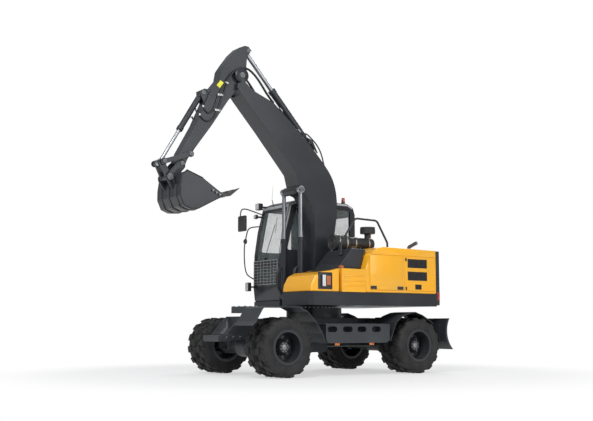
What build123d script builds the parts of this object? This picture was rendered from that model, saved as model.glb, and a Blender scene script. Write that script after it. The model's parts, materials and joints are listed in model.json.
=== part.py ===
from build123d import *
from math import atan2, cos, degrees, radians, sin
import os

os.makedirs("parts", exist_ok=True)

# Wheeled excavator, in millimetres. +X is the machine's front, +Y its open side,
# away from the cab, and +Z is up. The origin is on the ground under the slewing axis.

# Running fits and gaps
running_gap = 0.05      # radial play of a pin in its bore
side_gap = 6.0          # play beside an eye between its lugs
seat_gap = 0.3          # play under a piece that rests on another

# Wheels
axle_x = 1288.0         # front and rear axle, from the slewing axis
axle_z = 451.0          # a wheel's centre above the ground
tyre_radius = 451.0     # over the lugs
tyre_width = 240.0
tread_width = 206.0
sidewall_radius = 352.0  # where the sidewall is widest
lug_depth = 24.0
lug_count = 14          # in each of a tyre's two rows, even so that a corner stands on the ground
tyre_sides = 24         # of the faceted carcass
overall_width = 2300.0
dual_spacing = 285.0    # outer tyre's middle to inner tyre's middle
rim_radius = 250.0
bead_half = 94.0
outer_tyre_y = overall_width / 2 - tyre_width / 2
inner_tyre_y = outer_tyre_y - dual_spacing
spindle_radius = 45.0
spindle_end_y = outer_tyre_y - 20
kingpin_y = 545.0
kingpin_radius = 28.0

# Chassis
frame_half = 230.0      # half width of the frame's front and rear boxes
frame_low = 560.0
frame_top = 900.0
frame_rear_x = -1370.0
nose_x = 1950.0         # front edge of the frame's nose plate
nose_low = 530.0
nose_top = 625.0
gusset_start_x = 1500.0  # from here forward the nose is two gussets on its plate
gusset_plate = 28.0
tow_bore_x = 1885.0       # upright hole in the nose plate for a tow pin
tow_bore_radius = 27.0
waist_half = 360.0      # half width of the frame under the slewing ring
waist_x = 640.0
slew_radius = 380.0     # fit between the ring and the revolving deck
slew_ring_outer = 455.0
slew_ring_top = 1055.0
cover_x = (1209.0, 1469.0)
cover_half = 200.0
cover_z = (965.0, 1069.0)

# Side steps and mudguards
step_y = overall_width / 2
step_inner_y = 850.0
step_x = (-658.0, 600.0)
step_low = 505.0
step_top = 797.0
step_plate = 12.0
mudguard_inner_y = 640.0
mudguard_plate = 12.0

# Dozer blade on its parallel links
blade_half = 1150.0
link_drop = 240.0       # upper link's pins above the lower link's
link_length = 340.0
link_rise = 40.0        # degrees above level at rest
blade_lower_pin = (-1800.0, 600.0)
link_pin_radius = 20.0
link_eye_radius = 42.0
link_y = (125.0, 160.0)
link_cheek_y = (170.0, 196.0)
blade_cylinder_base = (-1385.0, 872.0)

# Revolving deck
deck_low = 1085.0
deck_floor = 1180.0     # under the cab and the boom
deck_top = 1290.0       # under the hood and the side boxes
deck_side_y = 1104.0
deck_front_x = 855.0
deck_rear_x = -1724.0
deck_slot_x = 505.0     # front edge in the middle, between cab and nose box
cab_inner_y = -300.0
cab_outer_y = -1150.0
box_inner_y = 330.0     # inner side of the boxes on the open side

# Boom and its cylinders, as (x, z) in the machine's middle plane
boom_foot = (15.0, 1480.0)
boom_tip = (1525.0, 4735.0)
boom_eye = (437.0, 2977.0)
boom_cylinder_base = (440.0, 1230.0)
boom_half = 180.0
boom_cylinder_y = 240.0
foot_pin_radius = 45.0
foot_cheek_y = (186.0, 216.0)

# Stick
stick_half = 110.0
arm_eye = (1365.0, 5180.0)
arm_cylinder_base = (130.0, 3820.0)
stick_end = (2560.0, 3215.0)
rocker_pivot = (2425.0, 3370.0)
bucket_cylinder_base = (2168.0, 4379.0)
tip_pin_radius = 40.0

# Bucket linkage
rocker_tip = (2870.0, 3215.0)
bucket_link_pin = (2760.0, 2990.0)
link_pin = 30.0
ear_y = (118.0, 146.0)
rocker_y = (154.0, 178.0)
bucket_half = 386.0
bucket_wall = 20.0


def side_plane(y):
    """The plane of a side view at this y, with x to the front and y up. It extrudes towards -Y."""
    return Plane.XZ.offset(-y)


def pin_plane(point, y=0):
    """A side view's plane with its origin on a pin's axis."""
    return Plane(origin=(point[0], y, point[1]), x_dir=(1, 0, 0), z_dir=(0, -1, 0))


def along_plane(start, end, y=0):
    """A side view's plane whose x runs from start to end."""
    run = (end[0] - start[0], 0, end[1] - start[1])
    return Plane(origin=(start[0], y, start[1]), x_dir=run, z_dir=(0, -1, 0))


def distance(start, end):
    return ((end[0] - start[0]) ** 2 + (end[1] - start[1]) ** 2) ** 0.5


def plate(points, y_from, y_to, rounding=0.0):
    """A flat plate of this side outline between two y values."""
    with BuildPart() as piece:
        with BuildSketch(side_plane(y_to)) as outline:
            with BuildLine():
                Polyline(*points, close=True)
            make_face()
            if rounding:
                fillet(outline.vertices(), rounding)
        extrude(amount=y_to - y_from)
    return piece.part


def pin(point, radius, y_from, y_to):
    """A round bar across the machine."""
    with BuildPart() as piece:
        with BuildSketch(pin_plane(point, y_to)):
            Circle(radius)
        extrude(amount=y_to - y_from)
    return piece.part


def bar_link(start, end, eye_radius, waist, y_from, y_to):
    """A flat link with a round eye at each end, its holes left to the caller."""
    length = distance(start, end)
    with BuildPart() as piece:
        with BuildSketch(along_plane(start, end, y_to)):
            Circle(eye_radius)
            with Locations((length, 0)):
                Circle(eye_radius)
            with Locations((length / 2, 0)):
                Rectangle(length, waist)
        extrude(amount=y_to - y_from)
    return piece.part


def tube(points, radius, bend, y=0.0):
    """A bent round tube along points of a side view at this y."""
    spots = [(x, y, z) for x, z in points]
    with BuildPart() as piece:
        with BuildLine() as route:
            FilletPolyline(*spots, radius=bend)
        with BuildSketch(Plane(origin=route.line @ 0, z_dir=route.line % 0)):
            Circle(radius)
        sweep(path=route.line)
    return piece.part


def cylinder_barrel(
    base, eye, y, barrel_radius, rod_radius, gland, bore_start, eye_half, eye_radius, pin_radius
):
    """A cylinder's tube with its base eye. gland and bore_start are measured from the base pin."""
    side = along_plane(base, eye, y)
    bore = rod_radius + running_gap
    with BuildPart() as piece:
        with BuildSketch(side):
            with BuildLine():
                Polyline(
                    (eye_radius * 0.7, 0),
                    (eye_radius * 0.7, eye_half * 0.85),
                    (eye_radius * 1.4, eye_half * 0.85),
                    (eye_radius * 1.75, barrel_radius),
                    (gland - 70, barrel_radius),
                    (gland - 66, barrel_radius * 1.12),
                    (gland - 8, barrel_radius * 1.12),
                    (gland, barrel_radius),
                    (gland, bore),
                    (bore_start, bore),
                    (bore_start, 0),
                    close=True,
                )
            make_face()
        revolve(axis=Axis(side.origin, side.x_dir))
        with BuildSketch(side.offset(-eye_half)):
            Circle(eye_radius)
        extrude(amount=2 * eye_half)
        with BuildSketch(side.offset(-eye_half)):
            Circle(pin_radius + running_gap)
        extrude(amount=2 * eye_half, mode=Mode.SUBTRACT)
    return piece.part


def cylinder_rod(base, eye, y, rod_radius, rod_start, eye_half, eye_radius, plug_radius, plug_half):
    """A cylinder's rod with its eye, which holds the end of its own pin."""
    side = along_plane(base, eye, y)
    length = distance(base, eye)
    with BuildPart() as piece:
        with BuildSketch(side):
            with BuildLine():
                Polyline(
                    (rod_start, 0),
                    (rod_start, rod_radius),
                    (length - eye_radius * 1.2, rod_radius),
                    (length - eye_radius, rod_radius * 1.35),
                    (length - eye_radius * 0.85, rod_radius * 1.35),
                    (length - eye_radius * 0.85, 0),
                    close=True,
                )
            make_face()
        revolve(axis=Axis(side.origin, side.x_dir))
        with BuildSketch(side.offset(-eye_half)):
            with Locations((length, 0)):
                Circle(eye_radius)
        extrude(amount=2 * eye_half)
        with BuildSketch(side.offset(-plug_half)):
            with Locations((length, 0)):
                Circle(plug_radius)
        extrude(amount=2 * plug_half)
    return piece.part


# Chassis frame: a box with a curved nose, a wide waist that carries the slewing ring,
# cheeks for the blade's links and lugs for its cylinder
chassis_lower_link = (
    blade_lower_pin[0] + link_length * cos(radians(link_rise)),
    blade_lower_pin[1] - link_length * sin(radians(link_rise)),
)
chassis_upper_link = (chassis_lower_link[0], chassis_lower_link[1] + link_drop)
blade_upper_pin = (blade_lower_pin[0], blade_lower_pin[1] + link_drop)

frame_cheek = plate(
    [
        (frame_rear_x + 120, frame_low),
        (frame_rear_x + 120, frame_top - 60),
        (frame_rear_x, frame_top - 60),
        (chassis_upper_link[0] - 50, chassis_upper_link[1] + 55),
        (chassis_upper_link[0] - 60, chassis_lower_link[1] - 30),
        (chassis_lower_link[0] + 10, chassis_lower_link[1] - 55),
        (frame_rear_x - 110, chassis_lower_link[1] - 20),
        (frame_rear_x - 40, frame_low),
    ],
    link_cheek_y[0],
    link_cheek_y[1],
)
frame_cheek_pins = [
    pin(point, link_pin_radius, link_y[0] - 12, link_cheek_y[1] + 10)
    for point in (chassis_lower_link, chassis_upper_link)
]
blade_cylinder_lug = plate(
    [
        (frame_rear_x + 130, frame_top - 65),
        (blade_cylinder_base[0] + 30, blade_cylinder_base[1] + 40),
        (blade_cylinder_base[0] - 40, blade_cylinder_base[1] + 40),
        (blade_cylinder_base[0] - 45, blade_cylinder_base[1] - 20),
        (frame_rear_x, frame_top - 110),
        (frame_rear_x + 130, frame_top - 110),
    ],
    36.0,
    56.0,
)
with BuildPart() as chassis_frame:
    with BuildSketch(side_plane(frame_half)):
        with BuildLine():
            top = Polyline(
                (frame_rear_x, frame_low),
                (frame_rear_x, frame_top - 90),
                (-1000, frame_top),
                (1330, frame_top - 20),
                (1370, 913),
                (1540, 913),
            )
            curve = ThreePointArc(top @ 1, (1690, 765), (1811, nose_top))
            Polyline(
                curve @ 1,
                (nose_x, nose_top),
                (nose_x, nose_low),
                (1500, frame_low),
                (frame_rear_x, frame_low),
            )
        make_face()
    extrude(amount=2 * frame_half)
    with Locations((0, 0, (frame_low + frame_top) / 2)):
        Box(2 * waist_x, 2 * waist_half, frame_top - frame_low)
    with BuildSketch(Plane.XY.offset(frame_top)):
        Circle(slew_ring_outer)
    extrude(amount=slew_ring_top - frame_top)
    with BuildSketch(Plane.XY.offset(slew_ring_top)):
        Circle(slew_radius + running_gap)
    extrude(amount=-(slew_ring_top - 960), mode=Mode.SUBTRACT)
    with Locations(((cover_x[0] + cover_x[1]) / 2, 0, (cover_z[0] + cover_z[1]) / 2)):
        Box(cover_x[1] - cover_x[0], 2 * cover_half, cover_z[1] - cover_z[0])
    with Locations((cover_x[0] + 25, 0, (frame_top + cover_z[0]) / 2)):
        Box(50, 2 * cover_half - 40, cover_z[0] - frame_top + 40)
    with BuildSketch(Plane.XY.offset(nose_low - 10)):
        with Locations((tow_bore_x, 0)):
            Circle(tow_bore_radius)
    extrude(amount=nose_top - nose_low + 20, mode=Mode.SUBTRACT)
    with Locations(((gusset_start_x + nose_x) / 2, 0, nose_top + 200)):
        Box(nose_x - gusset_start_x, 2 * (frame_half - gusset_plate), 400, mode=Mode.SUBTRACT)
    add(frame_cheek)
    add(frame_cheek_pins)
    add(blade_cylinder_lug)
    add(pin(blade_cylinder_base, link_pin_radius, -1, 62.0))
    mirror(about=Plane.XZ)
chassis_frame.part.label = "chassis_frame"
export_step(chassis_frame.part, "parts/chassis_frame.step")

# Front axle: housing with the differential, a saddle that hangs it from the frame,
# and a yoke at each end for the kingpin
axle_tube_radius = 78.0
differential_radius = 165.0
yoke_half_x = 55.0
yoke_gap = 85.0         # half height inside the yoke
yoke_arm = 32.0
with BuildPart() as front_axle:
    with BuildSketch(pin_plane((axle_x, axle_z), kingpin_y - 90)):
        Circle(axle_tube_radius)
    extrude(amount=2 * (kingpin_y - 90))
    with BuildSketch(Plane(origin=(axle_x, 0, axle_z), x_dir=(0, 1, 0), z_dir=(1, 0, 0))):
        with BuildLine():
            Polyline(
                (-240, 0),
                (-240, axle_tube_radius),
                (-120, differential_radius),
                (120, differential_radius),
                (240, axle_tube_radius),
                (240, 0),
                close=True,
            )
        make_face()
    revolve(axis=Axis((axle_x, 0, axle_z), (0, 1, 0)))
    with Locations((axle_x, 0, (axle_z + differential_radius + frame_low) / 2 - 40)):
        Box(170, 160, frame_low - axle_z - seat_gap + 60)
    with BuildSketch(Plane.XY.offset(frame_low - seat_gap)):
        with Locations((axle_x, 0)):
            Rectangle(600, 800)
    extrude(amount=300, mode=Mode.SUBTRACT)
    for level in (-1, 1):
        arm_z = axle_z + level * (yoke_gap + yoke_arm / 2)
        with Locations((axle_x, kingpin_y - 35, arm_z)):
            Box(2 * yoke_half_x, 170, yoke_arm)
    with Locations((axle_x, kingpin_y - 105, axle_z)):
        Box(2 * yoke_half_x, 30, 2 * (yoke_gap + yoke_arm))
    with BuildSketch(Plane.XY.offset(axle_z - 200)):
        with Locations((axle_x, kingpin_y)):
            Circle(kingpin_radius + running_gap)
    extrude(amount=400, mode=Mode.SUBTRACT)
    mirror(about=Plane.XZ)
front_axle.part.label = "front_axle"
export_step(front_axle.part, "parts/front_axle.step")

# Rear axle: a rigid housing bolted under the frame, with a spindle at each end
with BuildPart() as rear_axle:
    with BuildSketch(Plane(origin=(-axle_x, 0, axle_z), x_dir=(0, 1, 0), z_dir=(1, 0, 0))):
        with BuildLine():
            Polyline(
                (0, 0),
                (0, differential_radius - 60),
                (120, differential_radius - 60),
                (240, axle_tube_radius),
                (620, axle_tube_radius),
                (640, spindle_radius),
                (spindle_end_y, spindle_radius),
                (spindle_end_y, 0),
                close=True,
            )
        make_face()
    revolve(axis=Axis((-axle_x, 0, axle_z), (0, 1, 0)))
    with Locations((-axle_x + 30, 150, axle_z + 50)):
        Box(100, 110, 2 * (frame_low - axle_z - 50))
    mirror(about=Plane.XZ)
rear_axle.part.label = "rear_axle"
export_step(rear_axle.part, "parts/rear_axle.step")

# Driveline: the gearbox under the frame and a propeller shaft to each axle
gearbox_x = (-160.0, 160.0)
shaft_radius = 32.0
with BuildPart() as driveline:
    with Locations((0, 0, (axle_z - 110 + frame_low) / 2)):
        Box(gearbox_x[1] - gearbox_x[0], 300, frame_low - axle_z + 110)
    for x_from, x_to in (
        (gearbox_x[1], axle_x - differential_radius - seat_gap),
        (-axle_x + differential_radius - 60 + seat_gap, gearbox_x[0]),
    ):
        with BuildSketch(Plane(origin=(x_from, 0, axle_z), x_dir=(0, 1, 0), z_dir=(1, 0, 0))):
            Circle(shaft_radius)
        extrude(amount=x_to - x_from)
driveline.part.label = "driveline"
export_step(driveline.part, "parts/driveline.step")

# Steering knuckles: a kingpin between the yoke's arms and the spindle it carries
for side_name, side in (("left", 1), ("right", -1)):
    with BuildPart() as knuckle:
        with BuildSketch(Plane.XY.offset(axle_z - yoke_gap + side_gap)):
            with Locations((axle_x, side * kingpin_y)):
                Circle(50)
        extrude(amount=2 * (yoke_gap - side_gap))
        with BuildSketch(Plane.XY.offset(axle_z - yoke_gap - yoke_arm - 4)):
            with Locations((axle_x, side * kingpin_y)):
                Circle(kingpin_radius)
        extrude(amount=2 * (yoke_gap + yoke_arm + 4))
        with BuildSketch(pin_plane((axle_x, axle_z), side * kingpin_y)):
            Circle(spindle_radius)
        extrude(amount=-side * (spindle_end_y - kingpin_y))
    knuckle.part.label = f"knuckle_{side_name}"
    export_step(knuckle.part, f"parts/knuckle_{side_name}.step")


def lug_outline(turn):
    """One row of lugs as a closed outline: four corners for each, its foot and its tip."""
    corners = []
    for count in range(lug_count):
        for share, radius in (
            (0.00, tyre_radius - lug_depth),
            (0.07, tyre_radius),
            (0.53, tyre_radius),
            (0.60, tyre_radius - lug_depth),
        ):
            angle = radians((count + share) * 360 / lug_count + turn)
            corners.append((radius * cos(angle), radius * sin(angle)))
    return corners


def lugged_tyre():
    """A tyre round the Y axis at the origin: two staggered rows of lugs, shoulders and bead."""
    first_turn = 90 - 0.07 * 360 / lug_count
    bead_radius = (rim_radius + seat_gap) / cos(radians(180 / tyre_sides))
    with BuildPart() as tyre:
        for row, turn in ((-1, first_turn), (1, first_turn + 180 / lug_count)):
            with BuildSketch(Plane.XZ):
                Polygon(*lug_outline(turn), align=None)
            extrude(amount=row * tread_width / 2)
            shoulder = (tread_width / 2 - 1, tyre_radius - lug_depth - 4, sidewall_radius, Mode.ADD)
            dish = (bead_half - seat_gap, bead_radius + 14, sidewall_radius - 6, Mode.SUBTRACT)
            for near, near_radius, far_radius, mode in (shoulder, dish):
                far = tyre_width / 2 + (1 if mode == Mode.SUBTRACT else 0)
                with BuildSketch(Plane.XZ.offset(row * near)):
                    RegularPolygon(near_radius, tyre_sides)
                with BuildSketch(Plane.XZ.offset(row * far)):
                    RegularPolygon(far_radius, tyre_sides)
                loft(mode=mode)
        with BuildSketch(Plane.XZ.offset(-tyre_width)):
            RegularPolygon(bead_radius, tyre_sides)
        extrude(amount=2 * tyre_width, mode=Mode.SUBTRACT)
    return tyre.part


# Wheels: each is a pair of tyres on one wide rim with a sunk disc and a hub
rim_bore = spindle_radius + running_gap
rim_edge = rim_radius + 12
flange = 14.0
disc_y = (inner_tyre_y + outer_tyre_y) / 2 - 12
tyre_part = lugged_tyre()
for end_name, end in (("front", 1), ("rear", -1)):
    for side_name, side in (("left", 1), ("right", -1)):
        wheel_plane = Plane(
            origin=(end * axle_x, 0, axle_z), x_dir=(0, side, 0), z_dir=(side, 0, 0)
        )
        wheel_axis = Axis((end * axle_x, 0, axle_z), (0, 1, 0))
        inner_edge = inner_tyre_y - bead_half
        outer_edge = outer_tyre_y + bead_half
        with BuildPart() as rims:
            with BuildSketch(wheel_plane):
                with BuildLine():
                    Polyline(
                        (inner_edge + 40, rim_bore),
                        (inner_edge + 40, 95),
                        (disc_y, 105),
                        (disc_y, rim_radius - 26),
                        (inner_edge - flange, rim_radius - 26),
                        (inner_edge - flange, rim_edge),
                        (inner_edge, rim_edge),
                        (inner_edge, rim_radius),
                        (outer_edge, rim_radius),
                        (outer_edge, rim_edge),
                        (outer_edge + flange, rim_edge),
                        (outer_edge + flange, rim_radius - 26),
                        (disc_y + 24, rim_radius - 26),
                        (disc_y + 24, 120),
                        (spindle_end_y - 30, 112),
                        (spindle_end_y + 25, 80),
                        (spindle_end_y + 25, 0),
                        (spindle_end_y + 5, 0),
                        (spindle_end_y + 5, rim_bore),
                        close=True,
                    )
                make_face()
            revolve(axis=wheel_axis)
        rims.part.label = f"rims_{end_name}_{side_name}"
        export_step(rims.part, f"parts/rims_{end_name}_{side_name}.step")
        with BuildPart() as tyres:
            for middle in (inner_tyre_y, outer_tyre_y):
                add(tyre_part.translate((end * axle_x, side * middle, axle_z)))
        tyres.part.label = f"tyres_{end_name}_{side_name}"
        export_step(tyres.part, f"parts/tyres_{end_name}_{side_name}.step")

# Side steps: a slotted side plate with tread ledges on two beams from the frame
slot_x = ((280.0, 91.0), (572.0, 388.0), (-4.0, -180.0), (-294.0, -475.0))
slot_z = (673.0, 758.0)
step_middle_z = (step_low + step_top) / 2
with BuildPart() as side_steps:
    with BuildSketch(side_plane(step_y)):
        with BuildLine():
            Polyline(
                (step_x[0] + 60, step_low),
                (step_x[1] - 40, step_low),
                (step_x[1], step_low + 60),
                (step_x[1], step_top),
                (step_x[0], step_top),
                (step_x[0], step_low + 40),
                close=True,
            )
        make_face()
        for slot_end, slot_start in slot_x:
            with Locations(((slot_end + slot_start) / 2, (slot_z[0] + slot_z[1]) / 2)):
                SlotOverall(abs(slot_end - slot_start), slot_z[1] - slot_z[0], mode=Mode.SUBTRACT)
    extrude(amount=step_plate)
    for level in (step_low, step_top - step_plate):
        with BuildSketch(Plane.XY.offset(level)):
            with Locations(((step_x[0] + step_x[1]) / 2, (step_inner_y + step_y - step_plate) / 2)):
                Rectangle(step_x[1] - step_x[0] - 120, step_y - step_plate - step_inner_y)
        extrude(amount=step_plate)
    with BuildSketch(side_plane(step_inner_y + step_plate)):
        with Locations(((step_x[0] + step_x[1]) / 2, step_middle_z)):
            Rectangle(step_x[1] - step_x[0] - 120, step_top - step_low)
    extrude(amount=step_plate)
    for beam_x in (-430.0, 400.0):
        with Locations((beam_x, (waist_half + step_inner_y) / 2, step_middle_z)):
            Box(110, step_inner_y - waist_half, 120)
    mirror(about=Plane.XZ)
side_steps.part.label = "side_steps"
export_step(side_steps.part, "parts/side_steps.step")

# Mudguards: bent plates over the wheels. The cab's side has none in front.
front_guard = [
    (step_x[1] + 12, 520),
    (668, 650),
    (790, 834),
    (947, 983),
    (1093, 1046),
    (1691, 1046),
    (1740, 1020),
    (1856, 831),
    (1911, 777),
]
rear_guard = [
    (step_x[0] - 14, 530),
    (-742, 698),
    (-792, 818),
    (-929, 919),
    (-1101, 975),
    (-1205, 986),
    (-1363, 936),
    (-1542, 840),
    (-1595, 799),
]
guard_width = step_y - mudguard_inner_y
bracket_end_y = mudguard_inner_y + 60
bracket_z = 870.0
with BuildPart() as mudguards:
    for guard_points, sides in ((front_guard, (1,)), (rear_guard, (1, -1))):
        for side in sides:
            near = step_y if side > 0 else -mudguard_inner_y
            with BuildSketch(side_plane(near)):
                with BuildLine():
                    Polyline(*guard_points)
                trace(line_width=mudguard_plate)
            extrude(amount=guard_width)
    for bracket_x, guard_z, sides in ((960.0, 988.0, (1,)), (-940.0, 922.0, (1, -1))):
        for side in sides:
            with Locations((bracket_x, side * (frame_half + bracket_end_y) / 2, bracket_z)):
                Box(60, bracket_end_y - frame_half, 50)
            with Locations((bracket_x, side * (bracket_end_y - 20), (bracket_z + guard_z) / 2)):
                Box(20, 40, guard_z - bracket_z)
mudguards.part.label = "mudguards"
export_step(mudguards.part, "parts/mudguards.step")

# Dozer blade: a curved mouldboard with a backing beam and brackets for the links
blade_bracket = plate(
    [
        (-1865, blade_lower_pin[1] - 60),
        (blade_lower_pin[0] + 20, blade_lower_pin[1] - 46),
        (blade_lower_pin[0] + 46, blade_lower_pin[1]),
        (blade_upper_pin[0] + 46, blade_upper_pin[1]),
        (blade_upper_pin[0] + 20, blade_upper_pin[1] + 40),
        (-1865, blade_upper_pin[1] + 45),
    ],
    link_cheek_y[0],
    link_cheek_y[1],
)
blade_cylinder_bracket = plate(
    [
        (-1865, blade_lower_pin[1] - 70),
        (blade_lower_pin[0], blade_lower_pin[1] - 48),
        (blade_lower_pin[0] + 44, blade_lower_pin[1]),
        (blade_lower_pin[0], blade_lower_pin[1] + 48),
        (-1865, blade_lower_pin[1] + 90),
    ],
    60.0,
    80.0,
)
with BuildPart() as blade:
    with BuildSketch(side_plane(blade_half)):
        with BuildLine():
            front = ThreePointArc((-1961, 893), (-1905, 640), (-2035, 380))
            foot = Line(front @ 1, (-1985, 380))
            back = ThreePointArc(foot @ 1, (-1870, 640), (-1925, 893))
            Line(back @ 1, front @ 0)
        make_face()
    extrude(amount=2 * blade_half)
    with Locations((-1877, 0, 650)):
        Box(40, 2 * blade_half - 300, 300)
    add(blade_bracket)
    add(blade_cylinder_bracket)
    for point in (blade_lower_pin, blade_upper_pin):
        add(pin(point, link_pin_radius, link_y[0] - 12, link_cheek_y[1] + 10))
    mirror(about=Plane.XZ)
blade.part.label = "blade"
export_step(blade.part, "parts/blade.step")

# Blade links: two pairs of flat bars between the frame's cheeks and the blade
for level_name, chassis_pin, far_pin in (
    ("lower", chassis_lower_link, blade_lower_pin),
    ("upper", chassis_upper_link, blade_upper_pin),
):
    bar = bar_link(chassis_pin, far_pin, link_eye_radius, 60.0, link_y[0], link_y[1])
    with BuildPart() as links:
        add(bar)
        for point in (chassis_pin, far_pin):
            add(pin(point, link_pin_radius + running_gap, link_y[0], link_y[1]), mode=Mode.SUBTRACT)
        mirror(about=Plane.XZ)
    links.part.label = f"blade_{level_name}_links"
    export_step(links.part, f"parts/blade_{level_name}_links.step")

# Blade cylinder
blade_cylinder_length = distance(blade_cylinder_base, blade_lower_pin)
blade_gland = blade_cylinder_length - 75
blade_barrel_part = cylinder_barrel(
    blade_cylinder_base, blade_lower_pin, 0, 38, 20, blade_gland, 45, 28, 40, link_pin_radius
)
blade_rod_part = cylinder_rod(blade_cylinder_base, blade_lower_pin, 0, 20, 60, 28, 38, 20, 44)
with BuildPart() as blade_barrel:
    add(blade_barrel_part)
blade_barrel.part.label = "blade_barrel"
export_step(blade_barrel.part, "parts/blade_barrel.step")
with BuildPart() as blade_rod:
    add(blade_rod_part)
blade_rod.part.label = "blade_rod"
export_step(blade_rod.part, "parts/blade_rod.step")

# Revolving deck: a slab on the slewing ring, a raised side floor, cheeks for the boom's
# foot and lugs for its cylinders
boom_cheek = plate(
    [
        (-190, deck_floor - 5),
        (-90, boom_foot[1] + 60),
        (-40, boom_foot[1] + 120),
        (60, boom_foot[1] + 120),
        (125, boom_foot[1] + 40),
        (220, deck_floor - 5),
    ],
    foot_cheek_y[0],
    foot_cheek_y[1],
)
lug_thickness = 12.0
eye_half_boom = 32.0
boom_lug_outline = [
    (deck_slot_x - 160, deck_floor - 5),
    (boom_cylinder_base[0] - 50, boom_cylinder_base[1] + 20),
    (boom_cylinder_base[0] - 20, boom_cylinder_base[1] + 50),
    (boom_cylinder_base[0] + 20, boom_cylinder_base[1] + 50),
    (boom_cylinder_base[0] + 55, boom_cylinder_base[1] + 10),
    (boom_cylinder_base[0] + 55, deck_floor - 40),
    (deck_slot_x - 5, deck_low + 5),
    (deck_slot_x - 160, deck_low + 5),
]
boom_lug_y = [
    boom_cylinder_y - eye_half_boom - side_gap - lug_thickness,
    boom_cylinder_y + eye_half_boom + side_gap,
]
boom_lugs = [plate(boom_lug_outline, y, y + lug_thickness) for y in boom_lug_y]
with BuildPart() as deck_frame:
    with BuildSketch(Plane.XY.offset(deck_low)):
        with BuildLine():
            Polyline(
                (deck_rear_x, -deck_side_y),
                (deck_rear_x, deck_side_y),
                (deck_front_x - 60, deck_side_y),
                (deck_front_x, deck_side_y - 60),
                (deck_front_x, box_inner_y),
                (deck_slot_x - 140, box_inner_y),
                (deck_slot_x - 140, cab_inner_y),
                (440, cab_inner_y),
                (440, cab_outer_y),
                (-1130, cab_outer_y),
                (-1130, -deck_side_y),
                close=True,
            )
        make_face()
    extrude(amount=deck_floor - deck_low)
    with BuildSketch(Plane.XY.offset(deck_floor)):
        with BuildLine():
            Polyline(
                (deck_rear_x, -deck_side_y),
                (deck_rear_x, deck_side_y),
                (deck_front_x - 60, deck_side_y),
                (deck_front_x, deck_side_y - 60),
                (deck_front_x, box_inner_y),
                (-260, box_inner_y),
                (-260, 240),
                (-1150, 240),
                (-1150, -deck_side_y),
                close=True,
            )
        make_face()
    extrude(amount=deck_top - deck_floor)
    add(boom_cheek)
    add(boom_lugs)
    add(pin(boom_cylinder_base, 30, boom_lug_y[0] - 2, boom_lug_y[1] + lug_thickness + 2))
    cheek_bore = pin(boom_foot, foot_pin_radius + running_gap, foot_cheek_y[0] - 5, foot_cheek_y[1] + 5)
    add(cheek_bore, mode=Mode.SUBTRACT)
    for mirrored in (boom_cheek, *boom_lugs):
        add(mirrored.mirror(Plane.XZ))
    add(pin(boom_cylinder_base, 30, -boom_lug_y[1] - lug_thickness - 2, -boom_lug_y[0] + 2))
    add(cheek_bore.mirror(Plane.XZ), mode=Mode.SUBTRACT)
    with BuildSketch(Plane.XY.offset(deck_low)):
        Circle(slew_radius)
    extrude(amount=970 - deck_low)
deck_frame.part.label = "deck_frame"
export_step(deck_frame.part, "parts/deck_frame.step")

# Counterweight: a heavy curved tail
tail_bulge = 190.0
counterweight_top = 2009.0
lift_bore_x = -1850.0    # threaded holes for lifting eyes
lift_bore_y = 600.0
lift_bore_radius = 15.0
lift_bore_depth = 70.0
with BuildPart() as counterweight:
    with BuildSketch(Plane.XY.offset(deck_low + 20)):
        with BuildLine():
            tail = ThreePointArc(
                (deck_rear_x - 90, -deck_side_y + 20),
                (deck_rear_x - 90 - tail_bulge, 0),
                (deck_rear_x - 90, deck_side_y - 20),
            )
            Polyline(
                tail @ 1,
                (deck_rear_x, deck_side_y),
                (deck_rear_x, -deck_side_y),
                tail @ 0,
            )
        make_face()
    extrude(amount=counterweight_top - deck_low - 20)
    with BuildSketch(Plane.XY.offset(counterweight_top)):
        with Locations((lift_bore_x, lift_bore_y), (lift_bore_x, -lift_bore_y)):
            Circle(lift_bore_radius)
    extrude(amount=-lift_bore_depth, mode=Mode.SUBTRACT)
counterweight.part.label = "counterweight"
export_step(counterweight.part, "parts/counterweight.step")

# Engine hood: a hollow shell with openings for two side doors and a top lid
hood_front_x = -218.0
hood_top = 2030.0
hood_wall = 25.0
door_gap = 6.0
door_leaf = 16.0        # thickness of the side doors
rebate = 22.0           # width of the flange that a closed door or lid rests on
side_door_x = (-996.0, -300.0)
grille_door_x = (-1690.0, -1012.0)
door_z = (1330.0, 1900.0)
lid_x = (-1690.0, -1060.0)
lid_low = hood_top - 23
lid_y = (-240.0, 520.0)
hood_profile = [
    (deck_rear_x, deck_top),
    (hood_front_x, deck_top),
    (hood_front_x, 1661),
    (-267, 1819),
    (-348, 1941),
    (-464, 2006),
    (-600, hood_top),
    (deck_rear_x, hood_top - 15),
]
hood_inner = [
    (deck_rear_x + hood_wall, deck_top),
    (hood_front_x - hood_wall, deck_top),
    (hood_front_x - hood_wall, 1655),
    (-290, 1805),
    (-365, 1920),
    (-470, 1981),
    (-600, hood_top - hood_wall),
    (deck_rear_x + hood_wall, hood_top - 15 - hood_wall),
]
hood_outer = plate(hood_profile, 240, deck_side_y)
hood_hollow = plate(hood_inner, 240 + hood_wall, deck_side_y - hood_wall)
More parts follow.
